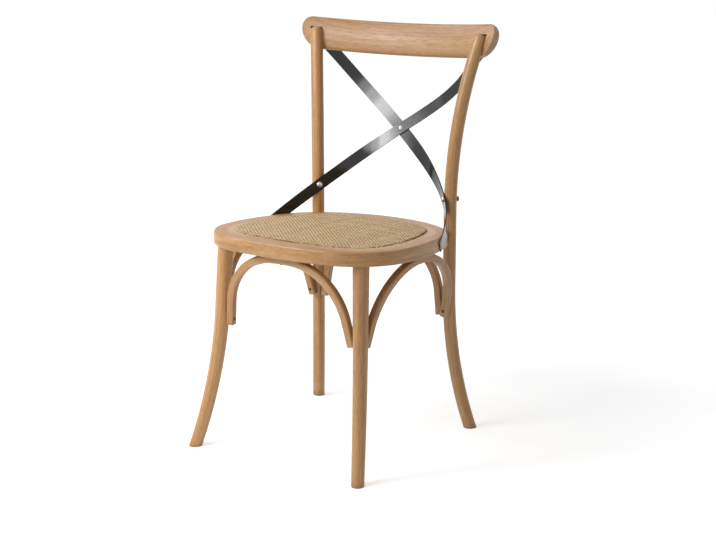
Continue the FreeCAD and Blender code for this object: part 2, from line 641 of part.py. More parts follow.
def make_crest():
    """Oval section turned about the bow's axis, its ends trimmed to a rounded outline."""
    body = doc.addObject("PartDesign::Body", "CrestRail")
    section = add_sketch(body, "CrestSection", "YZ_Plane")
    half = size("crest_thickness") / 2
    edge = size("crest_edge_radius")
    rise = size("crest_width") / 2 - edge
    face = (half ** 2 + rise ** 2 - edge ** 2) / (2 * (half - edge))
    middle = size("crest_bow_radius") + half
    turn = math.atan2(rise, face - half)
    back = arc(section, (middle + half - face, 0), face, -turn, turn)
    upper = arc(section, (middle, rise), edge, turn, math.pi - turn)
    front = arc(section, (middle - half + face, 0), face, math.pi - turn, math.pi + turn)
    lower = arc(section, (middle, -rise), edge, -math.pi + turn, -turn)
    close_chain(section, [back, upper, front, lower], "Tangent")
    fix(section, "PointOnObject", back, 3, -1)
    fix(section, "PointOnObject", front, 3, -1)
    fix(section, "Equal", back, front)
    bow = "Sizes.crest_bow_radius"
    drive(section, "edge_across", "%s + Sizes.crest_thickness / 2" % bow, "DistanceX", -1, 1, upper, 3)
    edge_height = "Sizes.crest_width / 2 - Sizes.crest_edge_radius"
    drive(section, "edge_height", edge_height, "DistanceY", -1, 1, upper, 3)
    fix(section, "Equal", upper, lower)
    drive(section, "edge_radius", "Sizes.crest_edge_radius", "Radius", upper)
    face_radius = ("((Sizes.crest_thickness / 2) ^ 2 + (Sizes.crest_width / 2 - Sizes.crest_edge_radius) ^ 2"
                   " - Sizes.crest_edge_radius ^ 2) / (Sizes.crest_thickness - 2 * Sizes.crest_edge_radius)")
    drive(section, "face_radius", face_radius, "Radius", back)
    doc.recompute()
    rail = body.newObject("PartDesign::Revolution", "CrestBow")
    rail.Profile = (section, [""])
    rail.ReferenceAxis = (section, ["V_Axis"])
    rail.Midplane = True
    rail.setExpression("Angle", "2 * asin((Sizes.crest_length / 2 + %d) / Sizes.crest_bow_radius)" % SPARE)
    doc.recompute()
    ends = add_sketch(body, "CrestOutline", "XZ_Plane")
    reach = "Sizes.crest_length / 2"
    shoulder = "Sizes.crest_width / 2 + %d" % OUTLINE_CLEAR
    rail_outline(ends, reach, shoulder, "Sizes.crest_lower_corner")
    wide = size("crest_length") / 2 + TOOL_REACH
    tall = size("crest_width") / 2 + SPARE
    corners = ((-wide, -tall), (wide, -tall), (wide, tall), (-wide, tall))
    frame = [line(ends, corners[i], corners[(i + 1) % 4]) for i in range(4)]
    close_chain(ends, frame, "Coincident")
    for index in (0, 2):
        fix(ends, "Horizontal", frame[index])
        fix(ends, "Vertical", frame[index + 1])
    fix(ends, "Symmetric", frame[0], 1, frame[2], 1, -1, 1)
    drive(ends, "wide", "%s + %d" % (reach, TOOL_REACH), "DistanceX", -1, 1, frame[1], 1)
    drive(ends, "tall", "Sizes.crest_width / 2 + %d" % SPARE, "DistanceY", -1, 1, frame[1], 2)
    doc.recompute()
    through(body, ends, "CrestEnds")
    body.Placement = CREST_PLACE
    return body


# Arches: one bent stick with two legs, two corners and a top, drawn in the arch's own plane.

def arch_height(prefix, place, tilt):
    """Height of the arch's middle line, so that its planed top meets the seat frame."""
    rise = "(%s - Sizes.seat_height + Sizes.%s_end_drop)" % (under_rim(place), prefix)
    slant = "(cos(%s) - sin(%s) * tan(Sizes.seat_slope))" % (tilt, tilt)
    if prefix == "side":
        slant = "cos(%s)" % tilt
    return "%s / %s + Sizes.arch_planing - Sizes.arch_width / 2" % (rise, slant)


def arch_edge(sketch, name, prefix, half_span, height, side):
    """Outer (side 1) or inner (side -1) edge of the stick, from its right end to its left end."""
    offset = "(%d) * Sizes.arch_width / 2" % side
    lean_size = "Sizes.%s_end_lean" % prefix
    end_across = "%s + %s * cos(%s)" % (half_span, offset, lean_size)
    end_height = "%s * sin(%s)" % (offset, lean_size)
    corner_size = "Sizes.%s_corner_radius + %s" % (prefix, offset)
    top_size = "Sizes.%s_top_radius + %s" % (prefix, offset)
    low_size = "%s - Sizes.%s_top_radius" % (height, prefix)
    lean = math.radians(val(lean_size))
    corner = val(corner_size)
    top = val(top_size)
    low = val(low_size)
    end = (val(end_across), val(end_height))
    # The corner's centre lies one corner radius inside the leg line, and tangent under the top.
    slope = math.tan(lean)
    across = end[0] + end[1] * slope - corner / math.cos(lean)
    square = 1 + slope ** 2
    linear = across * slope + low
    rest = across ** 2 + low ** 2 - (top - corner) ** 2
    up = (linear + math.sqrt(linear ** 2 - square * rest)) / square
    centre = (across - slope * up, up)
    knee = (centre[0] + corner * math.cos(lean), centre[1] + corner * math.sin(lean))
    turn = direction((0, low), centre)
    right_leg = line(sketch, end, knee)
    right_corner = arc(sketch, centre, corner, lean, turn)
    crown = arc(sketch, (0, low), top, turn, math.pi - turn)
    left_corner = arc(sketch, (-centre[0], centre[1]), corner, math.pi - turn, math.pi - lean)
    left_leg = line(sketch, (-knee[0], knee[1]), (-end[0], end[1]))
    chain = [right_leg, right_corner, crown, left_corner, left_leg]
    for here, after in zip(chain, chain[1:]):
        fix(sketch, "Tangent", here, 2, after, 1)
    drive(sketch, name + "_right", end_across, "DistanceX", -1, 1, right_leg, 1)
    drive(sketch, name + "_left", end_across, "DistanceX", left_leg, 2, -1, 1)
    drive(sketch, name + "_right_end", end_height, "DistanceY", -1, 1, right_leg, 1)
    drive(sketch, name + "_left_end", end_height, "DistanceY", -1, 1, left_leg, 2)
    drive(sketch, name + "_right_lean", "90 + " + lean_size, "Angle", -1, 1, right_leg, 1)
    drive(sketch, name + "_left_lean", "90 - " + lean_size, "Angle", -1, 1, left_leg, 2)
    drive(sketch, name + "_corner", corner_size, "Radius", right_corner)
    fix(sketch, "Equal", right_corner, left_corner)
    drive(sketch, name + "_top", top_size, "Radius", crown)
    drive(sketch, name + "_low", low_size, "DistanceY", -1, 1, crown, 3)
    fix(sketch, "PointOnObject", crown, 3, -2)
    return right_leg, left_leg, end


def make_arch(name, prefix, half_span, height, place):
    body = doc.addObject("PartDesign::Body", name)
    sketch = add_sketch(body, name + "Outline", "XZ_Plane")
    outer_right, outer_left, outer_end = arch_edge(sketch, "outer", prefix, half_span, height, 1)
    inner_right, inner_left, inner_end = arch_edge(sketch, "inner", prefix, half_span, height, -1)
    right_end = line(sketch, inner_end, outer_end)
    left_end = line(sketch, (-outer_end[0], outer_end[1]), (-inner_end[0], inner_end[1]))
    fix(sketch, "Coincident", right_end, 1, inner_right, 1)
    fix(sketch, "Coincident", right_end, 2, outer_right, 1)
    fix(sketch, "Coincident", left_end, 1, outer_left, 2)
    fix(sketch, "Coincident", left_end, 2, inner_left, 2)
    doc.recompute()
    stick = body.newObject("PartDesign::Pad", name + "Stick")
    stick.Profile = (sketch, [""])
    stick.Type = "Length"
    stick.SideType = "Symmetric"
    stick.setExpression("Length", "Sizes.arch_thickness")
    doc.recompute()
    face = size("arch_thickness") / 2
    ends = [(inner_end[0] + outer_end[0]) / 2, (inner_end[1] + outer_end[1]) / 2]
    long_edges = edges_where(stick, lambda at: abs(abs(at.y) - face) < FLAT
                             and math.hypot(abs(at.x) - ends[0], at.z - ends[1]) > 1)
    fillet(body, stick, name + "EdgeRound", long_edges, "Sizes.arch_edge_round")
    body.Placement = place
    return body


def arch_point(place, prefix, span, along, inward):
    """Point beside the middle line of an arch's right-hand leg, in the chair's frame."""
    lean = math.radians(size(prefix + "_end_lean"))
    across = span - along * math.sin(lean) - inward * math.cos(lean)
    height = along * math.cos(lean) - inward * math.sin(lean)
    return place.multVec(Vector(across, 0, height))


def arch_screw_places(place, prefix, span):
    """Seats of the screws in an arch's two ends, on its inner faces."""
    lean = math.radians(size(prefix + "_end_lean"))
    along = size("arch_screw_place")
    inward = size("arch_width") / 2
    right = arch_point(place, prefix, span, along, inward)
    axis = place.Rotation.multVec(Vector(-math.cos(lean), 0, -math.sin(lean)))
    other = place.multiply(Placement(Vector(0, 0, 0), Rotation(Vector(0, 0, 1), 180)))
    left = arch_point(other, prefix, span, along, inward)
    other_axis = other.Rotation.multVec(Vector(-math.cos(lean), 0, -math.sin(lean)))
    return [facing(right, axis), facing(left, other_axis)]


def arch_top_place(place, height):
    """Seat of the screw under the middle of an arch."""
    seat = place.multVec(Vector(0, 0, val(height) - size("arch_width") / 2))
    return facing(seat, place.Rotation.multVec(Vector(0, 0, -1)))


# Straps: a smooth line through the places where a strap is fastened, with a flat section along it.

def crest_back(across, rise, out):
    """Point over the rail's back face at a place across and up the rail, and the face's direction."""
    half = size("crest_thickness") / 2
    edge = size("crest_edge_radius")
    corner_rise = size("crest_width") / 2 - edge
    face = (half ** 2 + corner_rise ** 2 - edge ** 2) / (2 * (half - edge))
    tilt = math.asin(rise / face)
    radial = size("crest_bow_radius") + 2 * half - face + (face + out) * math.cos(tilt)
    turn = math.asin(across / radial)
    point = Vector(across, radial * math.cos(turn), (face + out) * math.sin(tilt))
    normal = Vector(math.sin(turn) * math.cos(tilt), math.cos(turn) * math.cos(tilt), math.sin(tilt))
    return CREST_PLACE.multVec(point), CREST_PLACE.Rotation.multVec(normal)


def smooth_line(points):
    curve = Part.BSplineCurve()
    curve.interpolate(Points=points)
    return curve


class StrapLine:
    """Middle line of the strap whose lower end is on the right, with its backward direction.

    The layer is 1 for the strap behind at the crossing and -1 for the one in front.
    """

    def __init__(self, layer):
        stand_off = size("strap_thickness") / 2 + size("strap_gap")
        edge, outward = seat_edge(size("strap_foot_place"))
        foot = SEAT_PLACE.multVec(edge + outward * stand_off + Vector(0, 0, -size("strap_foot_drop")))
        outward = SEAT_PLACE.Rotation.multVec(outward)
        turn = math.radians(size("strap_post_turn"))
        to_post = Vector(math.sin(turn), math.cos(turn), 0)
        post = post_point(val("Sizes.seat_height + Sizes.strap_post_rise"))
        post = post - to_post * (size("post_diameter") / 2 + stand_off)
        middle = Vector(0, CREST_DEPTH - size("cross_set"), val("Sizes.seat_height + Sizes.cross_rise"))
        bow = Vector(-size("bow_across"), CREST_DEPTH + size("bow_set"), val(CREST_HEIGHT + " - Sizes.bow_drop"))
        landing, landing_back = crest_back(-size("landing_across"), -size("landing_drop"), stand_off)
        end, end_back = crest_back(-size("strap_top_across"), size("strap_top_rise"), stand_off)
        course = smooth_line([foot, post, middle, bow, landing, end])
        along = Vector(*course.tangent(course.parameter(middle))[0])
        cross_back = unit(Vector(0, along.z, -along.y))
        middle = middle + cross_back * (layer * (size("strap_thickness") + size("strap_gap")) / 2)
        self.curve = smooth_line([foot, post, middle, bow, landing, end])
        self.edge = self.curve.toShape()
        self.length = self.edge.Length
        self.post_distance = self.distance(post)
        self.cross_distance = self.distance(middle)
        self.keys = (
            (0, outward),
            (self.post_distance, to_post),
            (self.cross_distance, cross_back),
            (self.distance(landing), landing_back),
            (self.length, end_back),
        )

    def distance(self, point):
        """Length along the line from its lower end to a point on it."""
        return self.curve.length(self.curve.FirstParameter, self.curve.parameter(point))

    def frame(self, distance):
        """Point, direction along the strap and backward direction at a distance from the lower end."""
        parameter = self.edge.getParameterByLength(min(distance, self.length))
        point = self.edge.valueAt(parameter)
        along = unit(self.edge.tangentAt(parameter))
        for lower, upper in zip(self.keys, self.keys[1:]):
            if distance <= upper[0]:
                break
        share = min(1, (distance - lower[0]) / (upper[0] - lower[0]))
        share = share * share * (3 - 2 * share)
        back = lower[1] * (1 - share) + upper[1] * share
        return point, along, unit(back - along * back.dot(along))

    def section(self, distance):
        point, along, back = self.frame(distance)
        side = along.cross(back) * (size("strap_width") / 2)
        deep = back * (size("strap_thickness") / 2)
        corners = [point + side + deep, point - side + deep, point - side - deep, point + side - deep]
        return Part.makePolygon(corners + corners[:1])

    def solid(self):
        sections = [self.section(self.length * step / STRAP_SPANS) for step in range(STRAP_SPANS + 1)]
        return Part.makeLoft(sections, True, False)

    def seat(self, distance, front=False):
        """Seat of a fastener's head on the strap, on its back or its front."""
        point, _, back = self.frame(distance)
        outward = back * (-1 if front else 1)
        return facing(point + outward * (size("strap_thickness") / 2), outward)


# Fasteners: turned bodies with a domed head above the seat plane and a shank below it.

def half_profile(body, name, points, dome):
    """Closed outline beside the axis; the first stretch is a dome where its radius is given."""
    sketch = add_sketch(body, name, "XZ_Plane")
    values = [(val(across), val(height)) for across, height in points]
    chain = []
    for index, start in enumerate(values):
        end = values[(index + 1) % len(values)]
        if index == 0 and dome:
            radius = val(dome)
            centre = (0, start[1] - radius)
            chain.append(arc(sketch, centre, radius, direction(centre, end), math.pi / 2))
        else:
            chain.append(line(sketch, start, end))
    count = len(points)
    for index in range(count):
        following = (index + 1) % count
        # A dome is drawn from its rim to its top, so its ends are swapped in the chain.
        here = (chain[index], 1 if index == 0 and dome else 2)
        after = (chain[following], 2 if following == 0 and dome else 1)
        fix(sketch, "Coincident", here[0], here[1], after[0], after[1])
        across, height = points[following]
        if following == 0:
            continue
        if val(across) == 0:
            fix(sketch, "PointOnObject", chain[following], 1, -2)
        else:
            drive(sketch, "across_%d" % following, across, "DistanceX", -1, 1, chain[following], 1)
        drive(sketch, "height_%d" % following, height, "DistanceY", -1, 1, chain[following], 1)
    top_end = 2 if dome else 1
    fix(sketch, "PointOnObject", chain[0], top_end, -2)
    drive(sketch, "top", points[0][1], "DistanceY", -1, 1, chain[0], top_end)
    if dome:
        fix(sketch, "PointOnObject", chain[0], 3, -2)
    doc.recompute()
    return sketch


def turned_body(name, points, dome=None):
    body = doc.addObject("PartDesign::Body", name)
    profile = half_profile(body, name + "Profile", points, dome)
    turning = body.newObject("PartDesign::Revolution", name + "Turning")
    turning.Profile = (profile, [""])
    turning.ReferenceAxis = (profile, ["V_Axis"])
    turning.Angle = 360
    doc.recompute()
    return body


def make_fastener(name, family, length, tail=None):
    """Domed head and shank; a tail names the height of a flat closing head at the shank's far end."""
    head = "Sizes.%s_head / 2" % family
    top = "Sizes.%s_dome" % family
    shank = "Sizes.%s_shank / 2" % family
    rise = "(%s - %s)" % (top, HEAD_RIM)
    dome = "((%s) ^ 2 + %s ^ 2) / (2 * %s)" % (head, rise, rise)
    points = [("0", top), (head, "%s" % HEAD_RIM), (head, "0"), (shank, "0"), (shank, "-(%s)" % length)]
    if tail:
        closed = "-(%s) - Sizes.%s" % (length, tail)
        edge = "Sizes.%s_diameter / 2" % tail
        points += [(edge, "-(%s)" % length), (edge, closed), ("0", closed)]
    else:
        points.append(("0", "-(%s)" % length))
    return turned_body(name, points, dome)


def make_drill(name, family, length):
    """Space that a fastener takes in what it holds: its shank and, above the seat, its head."""
    head = "Sizes.%s_head / 2 + Sizes.hole_gap" % family
    shank = "Sizes.%s_shank / 2 + Sizes.hole_gap" % family
    deep = "-(%s) - Sizes.hole_gap" % length
    above = "%d" % SPARE
    points = [("0", above), (head, above), (head, "0"), (shank, "0"), (shank, deep), ("0", deep)]
    return turned_body(name, points)


def place_copies(name, prototype, places):
    """Copies of one body at the given places on the right or in the middle."""
    copies = []
    for index, place in enumerate(places, 1):
        copy = doc.addObject("App::Link", "%s_%d" % (name, index))
        copy.LinkedObject = prototype
        copy.Placement = place
        copies.append(copy)
    return group(name, copies)


def make_nut():
    """Six-sided nut whose lower face is the seat."""
    nut = doc.addObject("Part::Prism", "Nut")
    nut.Polygon = 6
    nut.setExpression("Circumradius", "Sizes.nut_across / 2")
    nut.setExpression("Height", "Sizes.nut_height")
    bore = doc.addObject("Part::Cylinder", "NutBore")
    bore.setExpression("Radius", "Sizes.bolt_shank / 2 + Sizes.hole_gap / 2")
    bore.setExpression("Height", "Sizes.nut_height")
    doc.recompute()
    return cut("NutBody", nut, bore)


# Places that several pieces share.

def leg_spot(height, axis):
    """Place of the front leg's axis at a height: across, or ahead of the origin."""
    if axis == "across":
        return "(Sizes.leg_across + %s * sin(Sizes.leg_turn))" % leg_reach(height)
    return "(Sizes.leg_ahead + %s * cos(Sizes.leg_turn))" % leg_reach(height)


def post_spot(height, axis):
    """Place of the rear post's axis at a height: across, or behind the origin."""
    if axis == "across":
        return "(Sizes.post_across + %s * sin(Sizes.post_turn))" % post_low_reach(height)
    return "(Sizes.post_behind + %s * cos(Sizes.post_turn))" % post_low_reach(height)


END_OFFSET = "Sizes.arch_width / 2 - Sizes.arch_bite"
FRONT_SPAN = "%s - %s - (%s)" % (leg_spot(FRONT_HEIGHT, "across"), leg_radius(FRONT_HEIGHT), END_OFFSET)
FRONT_PLANE = "-%s + Sizes.front_end_setback" % leg_spot(FRONT_HEIGHT, "ahead")
REAR_SPAN = "%s - Sizes.post_diameter / 2 - (%s)" % (post_spot(REAR_HEIGHT, "across"), END_OFFSET)
REAR_PLANE = "%s - Sizes.rear_end_inset" % post_spot(REAR_HEIGHT, "behind")
SIDE_FORE = "(-%s + %s + %s)" % (leg_spot(SIDE_HEIGHT, "ahead"), leg_radius(SIDE_HEIGHT), END_OFFSET)
SIDE_REAR = "(%s - Sizes.post_diameter / 2 - (%s))" % (post_spot(SIDE_HEIGHT, "behind"), END_OFFSET)
SIDE_SPAN = "(%s - %s) / 2" % (SIDE_REAR, SIDE_FORE)
SIDE_MIDDLE = "(%s + %s) / 2" % (SIDE_REAR, SIDE_FORE)
SIDE_PLANE = "(%s + %s) / 2 - Sizes.side_end_inset" % (
    leg_spot(SIDE_HEIGHT, "across"), post_spot(SIDE_HEIGHT, "across"))
FRONT_RISE = arch_height("front", FRONT_PLANE, "Sizes.front_tilt")
REAR_RISE = arch_height("rear", REAR_PLANE, "-Sizes.rear_tilt")
SIDE_RISE = arch_height("side", SIDE_MIDDLE, "Sizes.side_tilt")

FRONT_ARCH_PLACE = Placement(
    Vector(0, val(FRONT_PLANE), val(FRONT_HEIGHT)),
    Rotation(Vector(1, 0, 0), size("front_tilt")),
)
REAR_ARCH_PLACE = Placement(
    Vector(0, val(REAR_PLANE), val(REAR_HEIGHT)),
    Rotation(Vector(1, 0, 0), -size("rear_tilt")),
)
SIDE_ARCH_PLACE = Placement(
    Vector(val(SIDE_PLANE), val(SIDE_MIDDLE), val(SIDE_HEIGHT)),
    Rotation(Vector(0, 1, 0), size("side_tilt")).multiply(Rotation(Vector(0, 0, 1), 90)),
)


def leg_axis_place():
    """Centre of the leg's upper face, its Z axis along the tenon."""
    top = Placement(Vector(0, 0, val(LEG_TOP)), Rotation(Vector(0, 1, 0), -size("leg_splay")))
    return LEG_PLACE.multiply(top)


def make_cylinder(name, radius, height, place):
    rod = doc.addObject("Part::Cylinder", name)
    rod.setExpression("Radius", radius)
    rod.setExpression("Height", height)
    rod.Placement = place
    doc.recompute()
    return rod


def make_seat_space():
    """Space taken by the seat frame, from its underside up, that planes legs and arches to it."""
    box = doc.addObject("Part::Box", "SeatSpace")
    box.setExpression("Length", "4 * Sizes.seat_half_width")
    box.setExpression("Width", "4 * Sizes.seat_half_width")
    box.setExpression("Height", "Sizes.rim_thickness + %d" % (2 * TOOL_REACH))
    reach = 2 * size("seat_half_width")
    box.Placement = SEAT_PLACE.multiply(Placement(Vector(-reach, -reach, -size("rim_thickness")), Rotation()))
    doc.recompute()
    return box


strap_lines = {"rear": StrapLine(1), "front": StrapLine(-1)}


def strap_places():
    """Seats of the fasteners of the strap whose lower end is on the right."""
    rear = strap_lines["rear"]
    return {
        "seat": rear.seat(size("strap_screw_place")),
        "post": rear.seat(rear.post_distance, front=True),
        "crest": rear.seat(rear.length - size("strap_screw_place")),
    }


def nut_place():
    """Seat of the nut on the far side of the right post."""
    bolt = strap_places()["post"]
    depth = val("Sizes.strap_thickness + Sizes.strap_gap + Sizes.post_diameter - Sizes.sink")
    return bolt.multiply(Placement(Vector(0, 0, -depth), Rotation(Vector(1, 0, 0), 180)))


BOLT_LENGTH = ("Sizes.strap_thickness + Sizes.strap_gap + Sizes.post_diameter - Sizes.sink"
               " + Sizes.nut_height + Sizes.bolt_tail")
RIVET_LENGTH = "2 * Sizes.strap_thickness + Sizes.strap_gap"


def rivet_place():
    front = strap_lines["front"]
    return front.seat(front.cross_distance, front=True)


def crest_post_place():
    """Seat of the screw through the rail into the right post, sunk in the rail's back."""
    post = post_point(val(CREST_HEIGHT + " + Sizes.crest_screw_rise"))
    local = CREST_PLACE.inverse().multVec(post)
    point = crest_back(local.x, local.z, -size("sink"))[0]
    return facing(point, unit(point - post))


def seat_bolt_place():
    """Seat of the bolt through the right post into the middle of the seat frame's corner."""
    side = (size("seat_half_width") - size("seat_side_radius"), size("seat_widest"))
    back = (0, size("seat_back_reach") - size("seat_back_radius"))
    corner = size("seat_back_corner")
    centre = meeting_point(side, size("seat_side_radius") - corner, back, size("seat_back_radius") - corner)
    height = val(under_rim("Sizes.post_behind")) + size("rim_thickness") / 2
    post = SEAT_PLACE.inverse().multVec(post_point(height))
    outward = unit(Vector(post.x - centre[0], post.y - centre[1], 0))
    seat = Vector(post.x, post.y, post.z) + outward * (size("post_diameter") / 2 - size("sink"))
    return SEAT_PLACE.multiply(facing(seat, outward))


def board_screw_places():
    """Seats of the screws under the ledge: two in front, two behind and one at each side."""
    inset = size("rim_width") + size("board_screw_inset")
    spread = size("board_screw_spread")
    back_radius = size("seat_back_radius")
    front_radius = size("seat_front_radius")
    back = size("seat_back_reach") - back_radius + math.sqrt((back_radius - inset) ** 2 - spread ** 2)
    front = front_radius - size("seat_front_reach") - math.sqrt((front_radius - inset) ** 2 - spread ** 2)
    side = size("seat_half_width") - inset
    spots = ((spread, back), (spread, front), (side, size("seat_widest")))
    places = []
    for across, along in spots:
        for sign in (1, -1):
            seat = facing(Vector(sign * across, along, -size("rim_thickness")), Vector(0, 0, -1))
            places.append(SEAT_PLACE.multiply(seat))
    return places


# Assembly of the pieces. Tools are made for the right side and mirrored.

def strap_feature(name, layer_name, mirrored):
    feature = doc.addObject("Part::Feature", name)
    feature.Shape = strap_lines[layer_name].solid()
    doc.recompute()
    return mirror(name + "Mirrored", feature) if mirrored else feature


def finish(feature, label):
    feature.Label = label
    nodes.append(feature)
    return feature


nodes = []
seat_space = make_seat_space()

places = strap_places()
side_screws = arch_screw_places(SIDE_ARCH_PLACE, "side", val(SIDE_SPAN))
front_screws = arch_screw_places(FRONT_ARCH_PLACE, "front", val(FRONT_SPAN))
rear_screws = arch_screw_places(REAR_ARCH_PLACE, "rear", val(REAR_SPAN))
front_top = arch_top_place(FRONT_ARCH_PLACE, FRONT_RISE)
rear_top = arch_top_place(REAR_ARCH_PLACE, REAR_RISE)
side_top = arch_top_place(SIDE_ARCH_PLACE, SIDE_RISE)

short_screw = make_fastener("ShortScrew", "screw", "Sizes.short_screw")
long_screw = make_fastener("LongScrew", "screw", "Sizes.long_screw")
panel_screw = make_fastener("BoardScrew", "screw", "Sizes.board_screw")
strap_bolt = make_fastener("StrapBolt", "bolt", BOLT_LENGTH)
rivet = make_fastener("Rivet", "bolt", RIVET_LENGTH, "rivet_tail")
seat_bolt = make_fastener("SeatBolt", "screw", "Sizes.seat_bolt")
short_drill = make_drill("ShortDrill", "screw", "Sizes.short_screw")
long_drill = make_drill("LongDrill", "screw", "Sizes.long_screw")
panel_drill = make_drill("BoardDrill", "screw", "Sizes.board_screw")
bolt_drill = make_drill("BoltDrill", "bolt", BOLT_LENGTH)
seat_bolt_drill = make_drill("SeatBoltDrill", "screw", "Sizes.seat_bolt")
nut = make_nut()


strap_seat_drill = both_sides("StrapSeatHoles", place_copies("StrapSeatHole", short_drill, [places["seat"]]))
strap_crest_drill = both_sides("StrapCrestHoles",
                               place_copies("StrapCrestHole", short_drill, [places["crest"]]))
strap_post_drill = place_copies("StrapPostHole", bolt_drill, [places["post"]])
strap_post_drills = both_sides("StrapPostHoles", strap_post_drill)
rivet_drill = place_copies("RivetHole", bolt_drill, [rivet_place()])
crest_post_drill = place_copies("CrestPostHole", long_drill, [crest_post_place()])
seat_bolt_hole = place_copies("SeatBoltHole", seat_bolt_drill, [seat_bolt_place()])
side_leg_drill = place_copies("SideArchHole", long_drill, side_screws)
front_leg_drill = place_copies("FrontArchHole", long_drill, front_screws)
rear_leg_drill = place_copies("RearArchHole", long_drill, rear_screws)
top_drill = place_copies("ArchTopHole", long_drill, [front_top, rear_top])
side_top_drill = place_copies("SideTopHole", long_drill, [side_top])
side_top_drills = both_sides("SideTopHoles", side_top_drill)
board_drill = place_copies("BoardHole", panel_drill, board_screw_places())

leg_tool = make_leg_rod("LegTool", "Sizes.joint_gap")
leg_tools = both_sides("LegTools", leg_tool)
post_tool = make_post_rod("PostTool", "Sizes.joint_gap", finished=False)
post_tools = both_sides("PostTools", post_tool)


def cut_all(name, base, tools):
    for index, tool in enumerate(tools, 1):
        base = cut("%sCut%d" % (name, index), base, tool)
    return base


# Seat frame.
mortise = make_cylinder("Mortise", "Sizes.tenon_diameter / 2 + Sizes.joint_gap",
                        "Sizes.tenon_length + Sizes.tenon_end_gap + %d" % SPARE,
                        leg_axis_place().multiply(Placement(Vector(0, 0, -SPARE), Rotation())))
rim = cut_all("SeatFrame", make_rim(), [
    both_sides("Mortises", mortise), post_tools, both_sides("SeatBoltHoles", seat_bolt_hole),
    strap_seat_drill, top_drill, side_top_drills, board_drill,
])
finish(rim, "seat_frame")

# Seat panel.
board_inset = "Sizes.rim_width + Sizes.groove_width + Sizes.cover_wall"
board_crown = "Sizes.panel_crown - Sizes.cover_wall"
board = make_domed_plate("Board", board_inset + " + Sizes.board_fit", board_crown + " - Sizes.board_fit",
                         "Sizes.board_edge_round")
finish(cut("SeatBoard", board, board_drill), "seat_board")
board_space = make_domed_plate("BoardSpace", board_inset, board_crown, "Sizes.board_edge_round")
cover = make_domed_plate("Cover", "Sizes.rim_width + Sizes.groove_width", "Sizes.panel_crown",
                         "Sizes.cover_edge_round")
finish(cut("RattanPanel", cover, board_space), "rattan_panel")

# Front legs.
leg_body = cut("LegPlaned", make_leg_rod("FrontLeg", "0"), seat_space)
tenon = make_cylinder("Tenon", "Sizes.tenon_diameter / 2", "Sizes.tenon_length + %d" % SPARE,
                      leg_axis_place().multiply(Placement(Vector(0, 0, -SPARE), Rotation())))
right_leg = cut_all("RightLeg", fuse("LegWithTenon", leg_body, tenon), [side_leg_drill, front_leg_drill])
finish(mirror("LeftLeg", right_leg), "front_leg_left")
finish(right_leg, "front_leg_right")

# Rear posts.
nut_space = make_cylinder("NutSpace", "Sizes.nut_across / 2 + Sizes.hole_gap", "%d" % SPARE, nut_place())
right_post = cut_all("RightPost", make_post_rod("RearPost", "0"), [
    side_leg_drill, rear_leg_drill, seat_bolt_hole, strap_post_drill, nut_space, crest_post_drill,
])
finish(mirror("LeftPost", right_post), "rear_post_left")
finish(right_post, "rear_post_right")

# Crest rail.
crest = cut_all("Crest", make_crest(), [
    post_tools, both_sides("CrestPostHoles", crest_post_drill), strap_crest_drill,
])
finish(crest, "crest_rail")

# Arches.
front_arch = make_arch("FrontArch", "front", FRONT_SPAN, FRONT_RISE, FRONT_ARCH_PLACE)
front_arch = cut_all("FrontArch", front_arch, [seat_space, leg_tools, front_leg_drill, top_drill])
finish(front_arch, "front_arch")
rear_arch = make_arch("RearArch", "rear", REAR_SPAN, REAR_RISE, REAR_ARCH_PLACE)
rear_arch = cut_all("RearArch", rear_arch, [seat_space, post_tools, rear_leg_drill, top_drill])
finish(rear_arch, "rear_arch")
side_arch = make_arch("SideArch", "side", SIDE_SPAN, SIDE_RISE, SIDE_ARCH_PLACE)
side_arch = cut_all("SideArch", side_arch, [seat_space, leg_tool, post_tool, side_leg_drill, side_top_drill])
finish(mirror("LeftArch", side_arch), "left_arch")
finish(side_arch, "right_arch")

# Straps.
strap_tools = [rivet_drill, strap_post_drills, strap_seat_drill, strap_crest_drill]
front_strap = cut_all("FrontStrap", strap_feature("FrontStrapBar", "front", mirrored=True), strap_tools)
finish(front_strap, "cross_strap_front")
rear_strap = cut_all("RearStrap", strap_feature("RearStrapBar", "rear", mirrored=False), strap_tools)
finish(rear_strap, "cross_strap_rear")

# Fasteners.
finish(place_copies("CrossRivet", rivet, [rivet_place()]), "cross_rivet")
finish(both_sides("PostBolts", place_copies("PostBolt", strap_bolt, [places["post"]])), "strap_post_bolts")
finish(both_sides("PostNuts", place_copies("PostNut", nut, [nut_place()])), "strap_post_nuts")
finish(both_sides("StrapSeatScrews", place_copies("StrapSeatScrew", short_screw, [places["seat"]])),
       "strap_seat_screws")
finish(both_sides("StrapCrestScrews", place_copies("StrapCrestScrew", short_screw, [places["crest"]])),
       "strap_crest_screws")
finish(both_sides("CrestPostScrews", place_copies("CrestPostScrew", long_screw, [crest_post_place()])),
       "crest_post_screws")
finish(both_sides("SeatBolts", place_copies("SeatBoltCopy", seat_bolt, [seat_bolt_place()])),
       "post_seat_bolts")
side_leg_screws = both_sides("SideLegScrews", place_copies("SideLegScrew", long_screw, side_screws))
end_leg_screws = place_copies("EndLegScrew", long_screw, front_screws + rear_screws)
finish(group("ArchLegScrews", [side_leg_screws, end_leg_screws]), "arch_leg_screws")
side_top_screws = both_sides("SideTopScrews", place_copies("SideTopScrew", long_screw, [side_top]))
end_top_screws = place_copies("EndTopScrew", long_screw, [front_top, rear_top])
finish(group("ArchSeatScrews", [side_top_screws, end_top_screws]), "arch_seat_screws")
finish(place_copies("BoardScrews", panel_screw, board_screw_places()), "board_screws")

